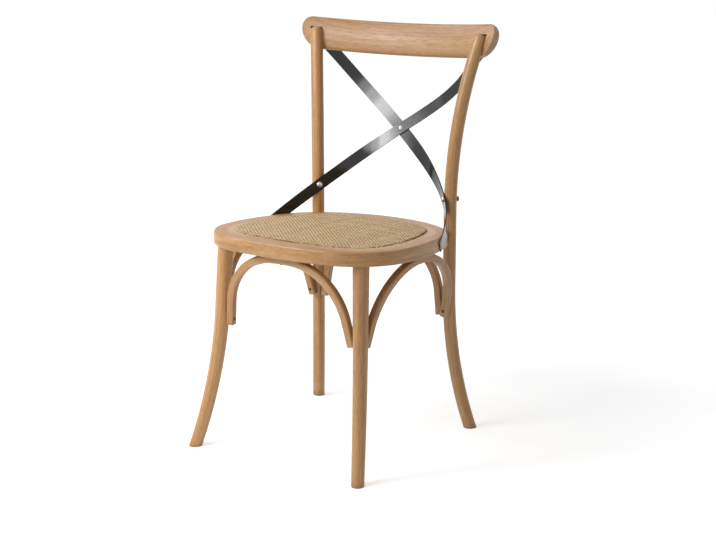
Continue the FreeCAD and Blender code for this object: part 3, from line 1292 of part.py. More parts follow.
doc.recompute()
for item in doc.Objects:
    if "Invalid" in item.State or "Error" in item.State:
        raise RuntimeError("%s is %s" % (item.Name, item.State))
for node in nodes:
    if node.Shape.isNull() or not node.Shape.isValid():
        raise RuntimeError("%s has no valid shape" % node.Label)
os.makedirs("parts", exist_ok=True)
for node in nodes:
    node.Shape.exportStep("parts/%s.step" % node.Label)
    print(node.Label, len(node.Shape.Solids), "solids, volume %.1f" % node.Shape.Volume)
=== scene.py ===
"""A cross back chair: bent wooden frame, woven rattan seat and two crossed black straps."""
import math

import bmesh
import bpy
import numpy as np
from mathutils import Matrix, Vector


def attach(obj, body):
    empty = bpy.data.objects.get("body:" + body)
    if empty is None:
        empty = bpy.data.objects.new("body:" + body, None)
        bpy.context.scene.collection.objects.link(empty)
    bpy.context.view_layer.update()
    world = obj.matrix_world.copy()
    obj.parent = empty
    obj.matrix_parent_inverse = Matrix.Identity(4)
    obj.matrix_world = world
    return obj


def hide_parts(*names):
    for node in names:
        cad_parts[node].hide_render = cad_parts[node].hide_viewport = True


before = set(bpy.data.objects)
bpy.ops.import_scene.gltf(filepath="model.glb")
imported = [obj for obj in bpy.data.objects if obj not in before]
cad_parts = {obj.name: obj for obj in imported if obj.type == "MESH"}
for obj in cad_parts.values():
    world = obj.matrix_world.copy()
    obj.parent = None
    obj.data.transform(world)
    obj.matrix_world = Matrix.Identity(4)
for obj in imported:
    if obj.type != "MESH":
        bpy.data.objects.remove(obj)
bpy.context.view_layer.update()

# Lengths are in metres and angles in radians.

SAME_PLACE = 1e-6  # vertices nearer than this are one

CAMERA_TURN, CAMERA_RISE = 0.60999, 0.227004  # round the chair from straight ahead, and up
CAMERA_TARGET = (0, -0.0265, 0.45)
CAMERA_DISTANCE = 3.1814
CAMERA_RIGHT, CAMERA_DOWN = 0.04964, 0.07798  # shift of the camera that sets the chair in the frame
VIEW_REACH = 60
SENSOR_WIDTH = 36  # in millimetres
FOCAL_LENGTH = 1514.68 / 716  # in widths of the picture

SEAT_MIDDLE = -0.018  # the seat frame's middle along Y
SEAT_HEIGHT = 0.4557  # top of the seat frame at its middle
SEAT_FALL = math.tan(math.radians(1.72))  # fall of the seat towards the back
RING_SECTION = (0.0283, 0.0148)  # half the seat frame's width and height
ARCH_SECTION = (0.0085, 0.008)  # half an arch's width and depth
ARCH_FOOT = 0.02  # how far below an arch its grain's centre lies
GRAIN_WAVES = 6  # waves that describe how far a ring or an arch is from its centre
GRAIN_STEPS = 721  # places at which the way round is measured
WOOD_CREASE = math.radians(28)  # sharpest turn that is shaded smooth

RAIL_LEAN = math.radians(15)
RAIL_BOW = 0.850  # radius of the rail's hollow front
RAIL_DEPTH = 0.024
RAIL_CORNER = 0.022  # radius of the rail's upper corners
RAIL_MIDDLE = 0.06  # the rail's back is measured this near to its middle
CHANNEL_TURN = math.radians(3.2)  # a post channel's width along the bow, and a little more
CHANNEL_INNER, CHANNEL_OUTER = 0.005, 0.009  # how far the channel passes the post's head
HEAD_LENGTH = 0.012  # top of a post that counts as its head
PLUG_GAP = 0.0006  # between a post's top and the plug above it
PLUG_OVER = 0.01  # how far a plug's outline passes the rail's top
PLUG_SCALE = 1.0015  # keeps a plug's faces clear of the rail's
CORNER_STEPS = 9

STRAND_PITCH = 0.0048
STRAND_WIDTH = 0.0046
STRAND_THICKNESS = 0.0008
STRAND_RISE = 0.00034  # half the height between a strand's crests and hollows
STRAND_REST = 1.25  # height of a strand's middle above the panel, in rises
STRAND_COUNT = 84  # spaces across the seat, an even number
STRAND_WANDER = 0.1  # how far strands stray sideways, in pitches
LANE_STEP = 0.37  # between one strand's place in the cane's pattern and the next one's
STRAND_TUCK = 0.0022  # how far a strand's end dips beside the panel
STRAND_END = 0.0026  # how far past the panel a strand is cut
RAY_START, RAY_LENGTH = 0.05, 0.1  # rays from above that find the panel

SCREW_HEAD, SCREW_DOME, SCREW_SHANK = 0.008, 0.0022, 0.004  # the head's width and height, the shank's width
SCREW_RIM = 0.0006  # upright edge of the head
SCREW_TIP = 0.88  # share of the length above the tip's cone
RIM_SHARE = 0.8  # points this far out, against the farthest, are on a head's rim
SCREW_CREASE = math.radians(35)
DOME_STEPS, TURN_STEPS = 6, 24
RECESS_LONG, RECESS_NARROW = 0.31, 0.06  # half sizes of the cross recess, in heads
RECESS_FLOOR, RECESS_TOP = 0.45, 1.45  # in domes

FLOOR_REACH = 14  # half the floor's width
GLOW_NEAR, GLOW_FAR = 0.5, 2.4  # distances between which the floor's own white rises
GLOW_LOW, GLOW_HIGH = 0.5, 0.7
ROOM_LIGHT = 0.37  # light from all round on the chair
LAMP_TARGET = (0, 0.2255, 0.643)  # the straps' crossing
LAMP_DISTANCE = 2.6


def link_object(name, data):
    made = bpy.data.objects.new(name, data)
    bpy.context.scene.collection.objects.link(made)
    return made


# Camera, at the photograph's viewing angle.

def direction(turn, rise):
    """Direction that turns to the right from straight ahead of the chair, and rises."""
    return Vector((math.sin(turn) * math.cos(rise), -math.cos(turn) * math.cos(rise), math.sin(rise)))


def aim_camera():
    back = direction(CAMERA_TURN, CAMERA_RISE)
    right = Vector((math.cos(CAMERA_TURN), math.sin(CAMERA_TURN), 0))
    up = back.cross(right)
    place = Vector(CAMERA_TARGET) + back * CAMERA_DISTANCE + right * CAMERA_RIGHT - up * CAMERA_DOWN
    lens = bpy.data.cameras.new("camera")
    lens.sensor_width = SENSOR_WIDTH
    lens.lens = FOCAL_LENGTH * SENSOR_WIDTH
    lens.clip_end = VIEW_REACH
    camera = link_object("camera", lens)
    camera.matrix_world = Matrix.Translation(place) @ Matrix((right, up, back)).transposed().to_4x4()
    bpy.context.scene.camera = camera


aim_camera()


# Node trees: helpers for materials and for geometry.

def add(tree, kind, sources=None, **settings):
    """Adds a node; sources gives its inputs by name or number, as values or as outputs to link."""
    made = tree.nodes.new(kind)
    for key, value in settings.items():
        setattr(made, key, value)
    for key, value in (sources or {}).items():
        socket = made.inputs[key]
        if isinstance(value, bpy.types.Node):
            tree.links.new(value.outputs[0], socket)
        elif isinstance(value, bpy.types.NodeSocket):
            tree.links.new(value, socket)
        else:
            socket.default_value = value
    return made


def calc(tree, operation, first, second=0.0):
    return add(tree, "ShaderNodeMath", {0: first, 1: second}, operation=operation).outputs[0]


def plus(tree, base, extra, share):
    """A value with a share of another one added."""
    return calc(tree, "ADD", base, calc(tree, "MULTIPLY", extra, share))


def vector_calc(tree, operation, first, second=(0, 0, 0)):
    key = "Scale" if operation == "SCALE" else 1
    return add(tree, "ShaderNodeVectorMath", {0: first, key: second}, operation=operation).outputs[0]


def split(tree, vector):
    """A vector's X, Y and Z."""
    return add(tree, "ShaderNodeSeparateXYZ", {0: vector}).outputs


def on_axis(tree, axis, value):
    """A vector that has one value on the named axis and none on the others."""
    return add(tree, "ShaderNodeCombineXYZ", {axis: value})


def attribute(tree, name):
    return add(tree, "ShaderNodeAttribute", attribute_name=name).outputs["Vector"]


def object_place(tree):
    return add(tree, "ShaderNodeTexCoord").outputs["Object"]


def linear(red, green, blue):
    """Colour of a finish, given as it looks on a screen, 0 to 255."""
    parts = []
    for value in (red / 255, green / 255, blue / 255):
        parts.append(value / 12.92 if value <= 0.04045 else ((value + 0.055) / 1.055) ** 2.4)
    return (*parts, 1)


def start_material(name):
    material = bpy.data.materials.new(name)
    material.use_nodes = True
    tree = material.node_tree
    tree.nodes.clear()
    shader = add(tree, "ShaderNodeBsdfPrincipled")
    add(tree, "ShaderNodeOutputMaterial", {"Surface": shader})
    return material, tree, shader


def noise(tree, where, stretch, detail, output="Fac"):
    """Noise with so many grains to a metre along each axis."""
    mapped = add(tree, "ShaderNodeMapping", {"Vector": where, "Scale": stretch})
    made = add(tree, "ShaderNodeTexNoise", {"Vector": mapped, "Scale": 1.0, "Detail": detail})
    return made.outputs[output]


def spread(tree, value, low, high, to_low=0.0, to_high=1.0):
    """A value's range from low to high, eased to another range and held at its ends."""
    return add(tree, "ShaderNodeMapRange",
               {"Value": value, "From Min": low, "From Max": high, "To Min": to_low, "To Max": to_high},
               interpolation_type="SMOOTHSTEP").outputs[0]


def ramp(tree, value, *stops):
    """Colours between stops, each a place and a colour as it looks on a screen."""
    made = add(tree, "ShaderNodeValToRGB", {"Fac": value})
    points = made.color_ramp.elements
    while len(points) < len(stops):
        points.new(0.5)
    for point, (place, colour) in zip(points, stops):
        point.position = place
        point.color = linear(*colour)
    return made.outputs[0]


def tint(tree, share, colour, other):
    """A colour that goes over to another one, given as it looks on a screen, by a share."""
    return add(tree, "ShaderNodeMix", {0: share, 6: colour, 7: linear(*other)}, data_type="RGBA").outputs[2]


def finish_shader(tree, shader, colour, rough, height, strength, depth):
    """Gives a shader its colour, its roughness and a fine relief."""
    tree.links.new(colour, shader.inputs["Base Color"])
    tree.links.new(rough, shader.inputs["Roughness"])
    relief = add(tree, "ShaderNodeBump", {"Height": height, "Strength": strength, "Distance": depth})
    tree.links.new(relief.outputs[0], shader.inputs["Normal"])


# Finishes.

def satin_oak():
    """Stained, satin-lacquered wood whose figure follows each bent piece by its grain attribute."""
    material, tree, shader = start_material("satin_oak")
    grain = attribute(tree, "grain")
    wide_limit, deep_limit, tone_and_painted_light = split(tree, attribute(tree, "finish"))
    drift = vector_calc(tree, "SUBTRACT", noise(tree, grain, (2.4, 9, 9), 2, "Color"), (0.5, 0.5, 0.5))
    run = vector_calc(tree, "ADD", grain, vector_calc(tree, "MULTIPLY", drift, (0, 0.009, 0.009)))
    streaks = noise(tree, run, (1.7, 85, 85), 4)
    lines = noise(tree, run, (1.2, 330, 330), 3)
    fibres = noise(tree, run, (24, 1500, 1500), 2)
    pores = spread(tree, noise(tree, run, (60, 1250, 1250), 1), 0.58, 0.68)
    patches = noise(tree, grain, (3.2, 13, 13), 3)
    figure = plus(tree, calc(tree, "MULTIPLY", streaks, 0.62), lines, 0.38)
    colour = ramp(tree, figure, (0.33, (150, 105, 57)), (0.44, (173, 128, 78)),
                  (0.54, (187, 143, 92)), (0.68, (203, 163, 114)))
    colour = tint(tree, spread(tree, patches, 0.5, 0.72, 0, 0.45), colour, (186, 122, 62))
    colour = tint(tree, spread(tree, patches, 0.46, 0.3, 0, 0.3), colour, (199, 168, 130))
    colour = tint(tree, spread(tree, fibres, 0.35, 0.62, 0.3, 0.0), colour, (140, 96, 52))
    colour = tint(tree, calc(tree, "MULTIPLY", pores, 0.45), colour, (104, 68, 36))
    # Square sections are rubbed pale along their edges.
    sides = split(tree, vector_calc(tree, "ABSOLUTE", grain))
    corner = calc(tree, "MULTIPLY", calc(tree, "MULTIPLY", sides[1], wide_limit),
                  calc(tree, "MULTIPLY", sides[2], deep_limit))
    corner = plus(tree, corner, calc(tree, "SUBTRACT", patches, 0.5), 0.5)
    colour = tint(tree, spread(tree, corner, 0.62, 0.95, 0, 0.4), colour, (216, 182, 138))
    # The feet are darker near the floor, up to a ragged line.
    here = object_place(tree)
    ragged = plus(tree, split(tree, here)[2], noise(tree, here, (60, 60, 60), 3), 0.03)
    colour = tint(tree, spread(tree, ragged, 0.034, 0.012, 0, 0.4), colour, (92, 66, 42))
    # Each piece's tone scales its colour; the tone is partly the wood's own and partly painted light and
    # shade, set one piece at a time.
    colour = vector_calc(tree, "SCALE", colour, calc(tree, "ADD", tone_and_painted_light, 1.0))
    rough = plus(tree, spread(tree, fibres, 0.3, 0.7, 0.5, 0.36), pores, 0.15)
    raised = calc(tree, "SUBTRACT", calc(tree, "ADD", calc(tree, "MULTIPLY", fibres, 0.5), lines), pores)
    finish_shader(tree, shader, colour, rough, raised, 0.35, 0.0004)
    shader.inputs["Coat Weight"].default_value = 0.22
    shader.inputs["Coat Roughness"].default_value = 0.32
    return material


def rattan_cane():
    """Split cane: every strand has its own tone, with fibres and darker growth marks along it."""
    material, tree, shader = start_material("rattan_cane")
    cane = attribute(tree, "cane")
    own = split(tree, cane)[1]
    here = object_place(tree)
    along = noise(tree, cane, (46, 37, 31), 3)
    fibres = noise(tree, cane, (160, 37, 31), 2)
    wide = noise(tree, here, (11, 11, 11), 3)
    speck = spread(tree, noise(tree, here, (430, 430, 430), 2), 0.56, 0.7)
    colour = ramp(tree, plus(tree, calc(tree, "MULTIPLY", own, 0.42), along, 0.58),
                  (0.25, (176, 144, 101)), (0.42, (196, 165, 121)),
                  (0.58, (206, 177, 134)), (0.78, (218, 192, 152)))
    colour = tint(tree, spread(tree, wide, 0.4, 0.66, 0, 0.28), colour, (206, 160, 110))
    colour = tint(tree, calc(tree, "MULTIPLY", speck, 0.24), colour, (132, 98, 62))
    colour = tint(tree, spread(tree, fibres, 0.6, 0.35, 0, 0.2), colour, (170, 134, 92))
    rough = spread(tree, fibres, 0.3, 0.7, 0.62, 0.46)
    finish_shader(tree, shader, colour, rough, calc(tree, "ADD", fibres, along), 0.3, 0.0002)
    return material


def painted_shade_layer():
    """The panel under the strands, coloured darker as painted shade: it shows between the strands and down
    in the groove.
    """
    material, tree, shader = start_material("painted_shade_layer")
    threads = noise(tree, object_place(tree), (520, 520, 120), 3)
    colour = ramp(tree, threads, (0.35, (118, 90, 60)), (0.65, (164, 132, 94)))
    finish_shader(tree, shader, colour, spread(tree, threads, 0.3, 0.7, 0.9, 0.75), threads, 0.4, 0.0004)
    return material


def plywood():
    """The board under the seat: a face veneer, and thin plies round its edge."""
    material, tree, shader = start_material("plywood")
    here = object_place(tree)
    veneer = noise(tree, here, (170, 4, 60), 4)
    fine = noise(tree, here, (900, 16, 900), 2)
    colour = ramp(tree, veneer, (0.3, (172, 134, 90)), (0.5, (200, 164, 118)), (0.7, (216, 184, 140)))
    colour = tint(tree, spread(tree, fine, 0.6, 0.4, 0, 0.3), colour, (150, 112, 70))
    plies = calc(tree, "SINE", calc(tree, "MULTIPLY", split(tree, here)[2], 3600.0))
    normal = add(tree, "ShaderNodeNewGeometry").outputs["True Normal"]
    upright = calc(tree, "ABSOLUTE", split(tree, normal)[2])
    edge = calc(tree, "MULTIPLY", spread(tree, plies, -0.2, 0.4), spread(tree, upright, 0.6, 0.3))
    colour = tint(tree, calc(tree, "MULTIPLY", edge, 0.6), colour, (120, 82, 48))
    finish_shader(tree, shader, colour, spread(tree, fine, 0.3, 0.7, 0.75, 0.6), fine, 0.25, 0.0003)
    return material


def black_lacquer():
    """Gloss black strap steel: faint orange peel under the lacquer, small rubbed marks."""
    material, tree, shader = start_material("black_lacquer")
    here = object_place(tree)
    peel = noise(tree, here, (240, 240, 240), 2)
    clouds = noise(tree, here, (16, 16, 16), 4)
    scuffs = spread(tree, noise(tree, here, (90, 90, 700), 3), 0.62, 0.72)
    marks = calc(tree, "MULTIPLY", scuffs, spread(tree, clouds, 0.5, 0.66))
    colour = ramp(tree, clouds, (0.35, (17, 17, 18)), (0.65, (25, 25, 27)))
    colour = tint(tree, calc(tree, "MULTIPLY", marks, 0.3), colour, (70, 68, 66))
    rough = plus(tree, spread(tree, clouds, 0.35, 0.7, 0.15, 0.17), marks, 0.06)
    finish_shader(tree, shader, colour, rough, peel, 0.02, 0.0002)
    return material


def worn_metal(name, pale, dark, rough_low, rough_high):
    """Plated or darkened steel with fine turning marks and a patchy film."""
    material, tree, shader = start_material(name)
    here = object_place(tree)
    film = noise(tree, here, (310, 310, 310), 4)
    marks = noise(tree, here, (2600, 2600, 900), 2)
    colour = ramp(tree, film, (0.34, dark), (0.62, pale))
    rough = spread(tree, film, 0.3, 0.7, rough_high, rough_low)
    finish_shader(tree, shader, colour, rough, marks, 0.15, 0.0002)
    shader.inputs["Metallic"].default_value = 1
    return material


OAK = satin_oak()
CANE = rattan_cane()
# The darker colour under the cane is painted shade between its strands and in the groove.
PAINTED_SHADE_LAYER = painted_shade_layer()
BOARD = plywood()
BLACK = black_lacquer()
PLATED = worn_metal("plated_steel", (206, 204, 198), (158, 154, 146), 0.24, 0.42)
DARKENED = worn_metal("darkened_steel", (112, 98, 82), (66, 55, 44), 0.34, 0.55)


# Pieces from the frame's own shapes.

def points_of(mesh):
    flat = np.empty(len(mesh.vertices) * 3, np.float32)
    mesh.vertices.foreach_get("co", flat)
    return flat.reshape(-1, 3).astype(float)


def shade(mesh, crease):
    """Smooth shading that keeps the edges sharper than a crease."""
    mesh.shade_smooth()
    mesh.set_sharp_from_angle(angle=crease)


def merged_copy(node, name):
    """Copy of a frame node's mesh with its loose triangles joined and its hard edges kept."""
    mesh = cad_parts[node].data.copy()
    mesh.name = name
    if "custom_normal" in mesh.attributes:
        mesh.attributes.remove(mesh.attributes["custom_normal"])
    work = bmesh.new()
    work.from_mesh(mesh)
    bmesh.ops.remove_doubles(work, verts=work.verts, dist=SAME_PLACE)
    work.to_mesh(mesh)
    work.free()
    mesh.materials.clear()
    shade(mesh, WOOD_CREASE)
    return mesh


def evaluated_mesh(source):
    """Plain mesh of an object with its modifiers carried out."""
    return bpy.data.meshes.new_from_object(source.evaluated_get(bpy.context.evaluated_depsgraph_get()))


def combine(first, second, operation):
    """Mesh of two closed meshes, one cut from the other or both held to what they share."""
    pair = [link_object("part", mesh) for mesh in (first, second)]
    change = pair[0].modifiers.new("combine", "BOOLEAN")
    change.operation = operation
    change.solver = "EXACT"
    change.use_self = True
    change.object = pair[1]
    bpy.context.view_layer.update()
    mesh = evaluated_mesh(pair[0])
    for part in pair:
        bpy.data.objects.remove(part)
    return mesh


def listed_mesh(name, verts, faces):
    """Mesh of listed places and faces, which comes out the same in every run."""
    mesh = bpy.data.meshes.new(name)
    mesh.from_pydata(verts, [], faces)
    return mesh


def prism(near, far):
    """Closed solid between two ends, both listed counter-clockwise as seen from the near one."""
    count = len(near)
    faces = [tuple(range(count)), tuple(reversed(range(count, 2 * count)))]
    for first in range(count):
        second = (first + 1) % count
        faces.append((second, first, first + count, second + count))
    return listed_mesh("prism", near + far, faces)


def turned_shape(outline, steps):
    """Closed solid that turns round Z, from an outline of widths and heights that starts on top."""
    verts = [(0, 0, outline[0][1]), (0, 0, outline[-1][1])]
    for across, height in outline[1:-1]:
        for step in range(steps):
            turn = math.tau * step / steps
            verts.append((across * math.cos(turn), across * math.sin(turn), height))
    lowest = len(verts) - steps
    faces = []
    for step in range(steps):
        after = (step + 1) % steps
        faces.append((0, 2 + step, 2 + after))
        for upper in range(2, lowest, steps):
            lower = upper + steps
            faces.append((upper + step, lower + step, lower + after, upper + after))
        faces.append((1, lowest + after, lowest + step))
    return listed_mesh("turned_shape", verts, faces)


def place_piece(name, mesh, slot, *nodes):
    """Links a finished mesh as a piece that stands for the given nodes."""
    piece = link_object(name, mesh)
    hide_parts(*nodes)
    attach(piece, "root")
    return piece


def straight_grain(points, along, across, deep, degree):
    """Grain of a rod: distance along it, and place across it measured from its bent middle line."""
    run, aside, inside = (points @ np.array(axis, float) for axis in (along, across, deep))
    aside = aside - np.polyval(np.polyfit(run, aside, degree), run)
    inside = inside - np.polyval(np.polyfit(run, inside, degree), run)
    return np.column_stack((run, aside, inside))


def bent_grain(points, middles, centre, across, up):
    """Grain of a ring or an arch: distance round it, and place across it from its middle line.

    A face's corners are counted on from its own middle, so a ring's two ends meet in one line.
    """
    axis, rise = np.array(across, float), np.array(up, float)
    local = points - np.array(centre, float)
    face = middles - np.array(centre, float)
    flat_x, flat_y = local @ axis, local @ rise
    out = local @ np.cross(axis, rise)
    angle = np.arctan2(flat_y, flat_x)
    angle += np.round((np.arctan2(face @ rise, face @ axis) - angle) / math.tau) * math.tau
    reach = np.hypot(flat_x, flat_y)

    def basis(turn):
        rows = [np.ones_like(turn)]
        for wave in range(1, GRAIN_WAVES + 1):
            rows += [np.cos(wave * turn), np.sin(wave * turn)]
        return np.column_stack(rows)

    weights = np.linalg.lstsq(basis(angle), reach, rcond=1e-6)[0]
    turns = np.linspace(angle.min(), angle.max(), GRAIN_STEPS)
    radii = basis(turns) @ weights
    steps = np.hypot(np.diff(radii), (radii[1:] + radii[:-1]) / 2 * np.diff(turns))
    lengths = np.concatenate(([0.0], np.cumsum(steps)))
    middle = basis(angle) @ weights
    return np.column_stack((np.interp(angle, turns, lengths), reach - middle, out - out.mean()))


def corners_of(mesh):
    """Place of every face corner."""
    index = np.empty(len(mesh.loops), int)
    mesh.loops.foreach_get("vertex_index", index)
    return points_of(mesh)[index]


def face_middles(mesh):
    """For every face corner, the middle of the face that it belongs to."""
    total = np.empty(len(mesh.polygons), int)
    mesh.polygons.foreach_get("loop_total", total)
    starts = np.concatenate(([0], np.cumsum(total)[:-1]))
    middles = np.add.reduceat(corners_of(mesh), starts) / total[:, None]
    return np.repeat(middles, total, axis=0)


def dress_wood(node, name, grain, seed, tone_and_painted_light, section=None, reshape=None):
    """Wooden piece with its own grain and a tone that is partly its own and partly painted light and shade;
    a square section has its edges rubbed pale.
    """
    mesh = merged_copy(node, name)
    if reshape:
        mesh = reshape(mesh)
    values = grain(mesh)
    values[:, 0] += seed
    finish = (1 / section[0], 1 / section[1], tone_and_painted_light) if section else (0, 0, tone_and_painted_light)
    for label, rows in (("grain", values), ("finish", np.tile(finish, (len(values), 1)))):
        field = mesh.attributes.new(label, "FLOAT_VECTOR", "CORNER")
        field.data.foreach_set("vector", rows.astype(np.float32).ravel())
    mesh.materials.append(OAK)
    return place_piece(name, mesh, "oak", node)


def plug_outline(head, top, rise, corner):
    """Outline in X and Z that closes a channel above a post's head, up round the rail's corner."""
    inner, outer = head.min() - CHANNEL_INNER, head.max() + CHANNEL_OUTER
    outline = [(inner, top + PLUG_GAP), (outer, top + PLUG_GAP)]
    for across in np.linspace(outer, corner, CORNER_STEPS):
        fall = RAIL_CORNER - math.sqrt(RAIL_CORNER ** 2 - (across - corner) ** 2)
        outline.append((across, rise - fall))
    return outline + [(corner, rise + PLUG_OVER), (inner, rise + PLUG_OVER)]


def end_channels(rail):
    """Closes the rail's two channels over the posts' tops with the rail's own section.

    A copy of the rail, turned along its bow until solid wood stands over the channel,
    is trimmed to that place and set in, a hair proud of the rail's faces.
    """
    stand = Matrix.Rotation(RAIL_LEAN, 4, "X")
    upright = rail.copy()
    upright.transform(stand)
    spots = points_of(upright)
    back = spots[np.abs(spots[:, 0]) < RAIL_MIDDLE, 1].max()
    centre = Matrix.Translation((0, back - RAIL_BOW - RAIL_DEPTH, 0))
    whole = bmesh.new()
    whole.from_mesh(upright)
    for side, node in ((-1, "rear_post_left"), (1, "rear_post_right")):
        post = merged_copy(node, "post")
        post.transform(stand)
        reach = points_of(post)
        top = reach[:, 2].max()
        head = np.abs(reach[reach[:, 2] > top - HEAD_LENGTH, 0])
        outline = plug_outline(head, top, spots[:, 2].max(), spots[:, 0].max() - RAIL_CORNER)
        if side < 0:
            outline = [(-across, height) for across, height in reversed(outline)]
        turned = upright.copy()
        turned.transform(centre @ Matrix.Rotation(-side * CHANNEL_TURN, 4, "Z") @ centre.inverted())
        cutter = prism(*([(across, y, height) for across, height in outline] for y in (-1, 1)))
        plug = combine(turned, cutter, "INTERSECT")
        middle = Matrix.Translation(points_of(plug).mean(axis=0))
        plug.transform(middle @ Matrix.Scale(PLUG_SCALE, 4) @ middle.inverted())
        whole.from_mesh(plug)
    whole.to_mesh(upright)
    whole.free()
    upright.transform(stand.inverted())
    shade(upright, WOOD_CREASE)
    return upright


X, Y, Z = (1, 0, 0), (0, 1, 0), (0, 0, 1)


def rod_grain(mesh):
    """Legs and posts run upwards."""
    return straight_grain(corners_of(mesh), Z, X, Y, degree=5)


def rail_grain(mesh):
    """The rail runs across, and its section leans."""
    thick = (0, math.cos(RAIL_LEAN), -math.sin(RAIL_LEAN))
    high = (0, math.sin(RAIL_LEAN), math.cos(RAIL_LEAN))
    return straight_grain(corners_of(mesh), X, thick, high, degree=4)


def ring_grain(mesh):
    """The ring's ends meet at the back."""
    points = corners_of(mesh)
    up = np.array((0, SEAT_FALL, 1), float)
    front = (0, -1, SEAT_FALL)
    values = bent_grain(points, face_middles(mesh), (0, SEAT_MIDDLE, SEAT_HEIGHT), front, X)
    values[:, 2] = (points - np.array((0, SEAT_MIDDLE, SEAT_HEIGHT - RING_SECTION[1]))) @ up
    return values


def arch_grain(mesh):
    """The arch's own plane is the one in which its points spread most."""
    points = corners_of(mesh)
    middle = points.mean(axis=0)
    normal = np.linalg.svd(points - middle, full_matrices=False)[2][2]
    up = np.array((0, 0, 1.0)) - normal * normal[2]
    up /= np.linalg.norm(up)
    across = np.cross(up, normal)
    low, high = points.min(axis=0), points.max(axis=0)
    foot = np.array(((low[0] + high[0]) / 2, (low[1] + high[1]) / 2, low[2] - ARCH_FOOT))
    foot = foot + normal * ((middle - foot) @ normal)
    return bent_grain(points, face_middles(mesh), foot, across, up)


# The numbers are where each piece's grain begins, so that no two match, and how light its wood is: partly
# its own tone and partly painted light and shade, raised on the left post and front left leg and lowered on
# the rail.
dress_wood("seat_frame", "seat_ring", ring_grain, 0.0, 0.06, RING_SECTION)
dress_wood("front_leg_left", "leg_front_left", rod_grain, 3.1, 0.26)
dress_wood("front_leg_right", "leg_front_right", rod_grain, 5.3, 0.0)
dress_wood("rear_post_left", "post_left", rod_grain, 8.2, 0.16)
dress_wood("rear_post_right", "post_right", rod_grain, 11.4, 0.02)
dress_wood("crest_rail", "top_rail", rail_grain, 14.9, -0.1, reshape=end_channels)
dress_wood("front_arch", "arch_front", arch_grain, 17.3, 0.04, ARCH_SECTION)
dress_wood("rear_arch", "arch_rear", arch_grain, 20.6, -0.04, ARCH_SECTION)
dress_wood("left_arch", "arch_left", arch_grain, 23.8, 0.02, ARCH_SECTION)
dress_wood("right_arch", "arch_right", arch_grain, 27.2, -0.05, ARCH_SECTION)


def dress_node(node, material):
    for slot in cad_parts[node].material_slots:
        slot.link = "OBJECT"
        slot.material = material


dress_node("seat_board", BOARD)
dress_node("cross_strap_front", BLACK)
dress_node("cross_strap_rear", BLACK)
dress_node("cross_rivet", PLATED)
dress_node("strap_post_bolts", PLATED)
dress_node("strap_post_nuts", DARKENED)


# Geometry Nodes: trees with named inputs.

def start_tree(name, inputs):
    tree = bpy.data.node_groups.new(name, "GeometryNodeTree")
    tree.interface.new_socket("Geometry", in_out="OUTPUT", socket_type="NodeSocketGeometry")
    tree.interface.new_socket("Geometry", in_out="INPUT", socket_type="NodeSocketGeometry")
    for label, kind in inputs:
        tree.interface.new_socket(label, in_out="INPUT", socket_type="NodeSocket" + kind)
    return tree, add(tree, "NodeGroupInput"), add(tree, "NodeGroupOutput")


def realize_in(tree, geometry, material):
    """A tree's last two steps: real geometry instead of instances, in its own material."""
    real = add(tree, "GeometryNodeRealizeInstances", {"Geometry": geometry})
    return add(tree, "GeometryNodeSetMaterial", {"Geometry": real, "Material": material})


def grow(name, base, tree, values):
    """Plain mesh that a tree makes from a base object, which is used up."""
    modifier = base.modifiers.new(name, "NODES")
    modifier.node_group = tree
    for item in tree.interface.items_tree:
        if item.in_out == "INPUT" and item.name in values:
            modifier[item.identifier] = values[item.name]
    base.update_tag()
    bpy.context.view_layer.update()
    mesh = evaluated_mesh(base)
    mesh.name = name
    base.modifiers.remove(modifier)
    bpy.data.objects.remove(base)
    return mesh


def straight_strands(tree, given, along, across):
    """Straight lines over the whole seat, a pitch apart, with points at and between the crossings."""
    pitch, count = given.outputs["Strand Pitch"], given.outputs["Strand Count"]
    half = calc(tree, "MULTIPLY", calc(tree, "MULTIPLY", pitch, count), 0.5)
    back = calc(tree, "MULTIPLY", half, -1.0)
    line = add(tree, "GeometryNodeCurvePrimitiveLine", {
        "Start": on_axis(tree, along, back), "End": on_axis(tree, along, half)})
    samples = calc(tree, "ADD", calc(tree, "MULTIPLY", count, 2.0), 1.0)
    line = add(tree, "GeometryNodeResampleCurve", {"Curve": line, "Count": samples})
    row = add(tree, "GeometryNodeMeshLine", {
        "Count": calc(tree, "ADD", count, 1.0), "Start Location": on_axis(tree, across, back),
        "Offset": on_axis(tree, across, pitch)})
    placed = add(tree, "GeometryNodeInstanceOnPoints", {"Points": row, "Instance": line})
    return add(tree, "GeometryNodeRealizeInstances", {"Geometry": placed})


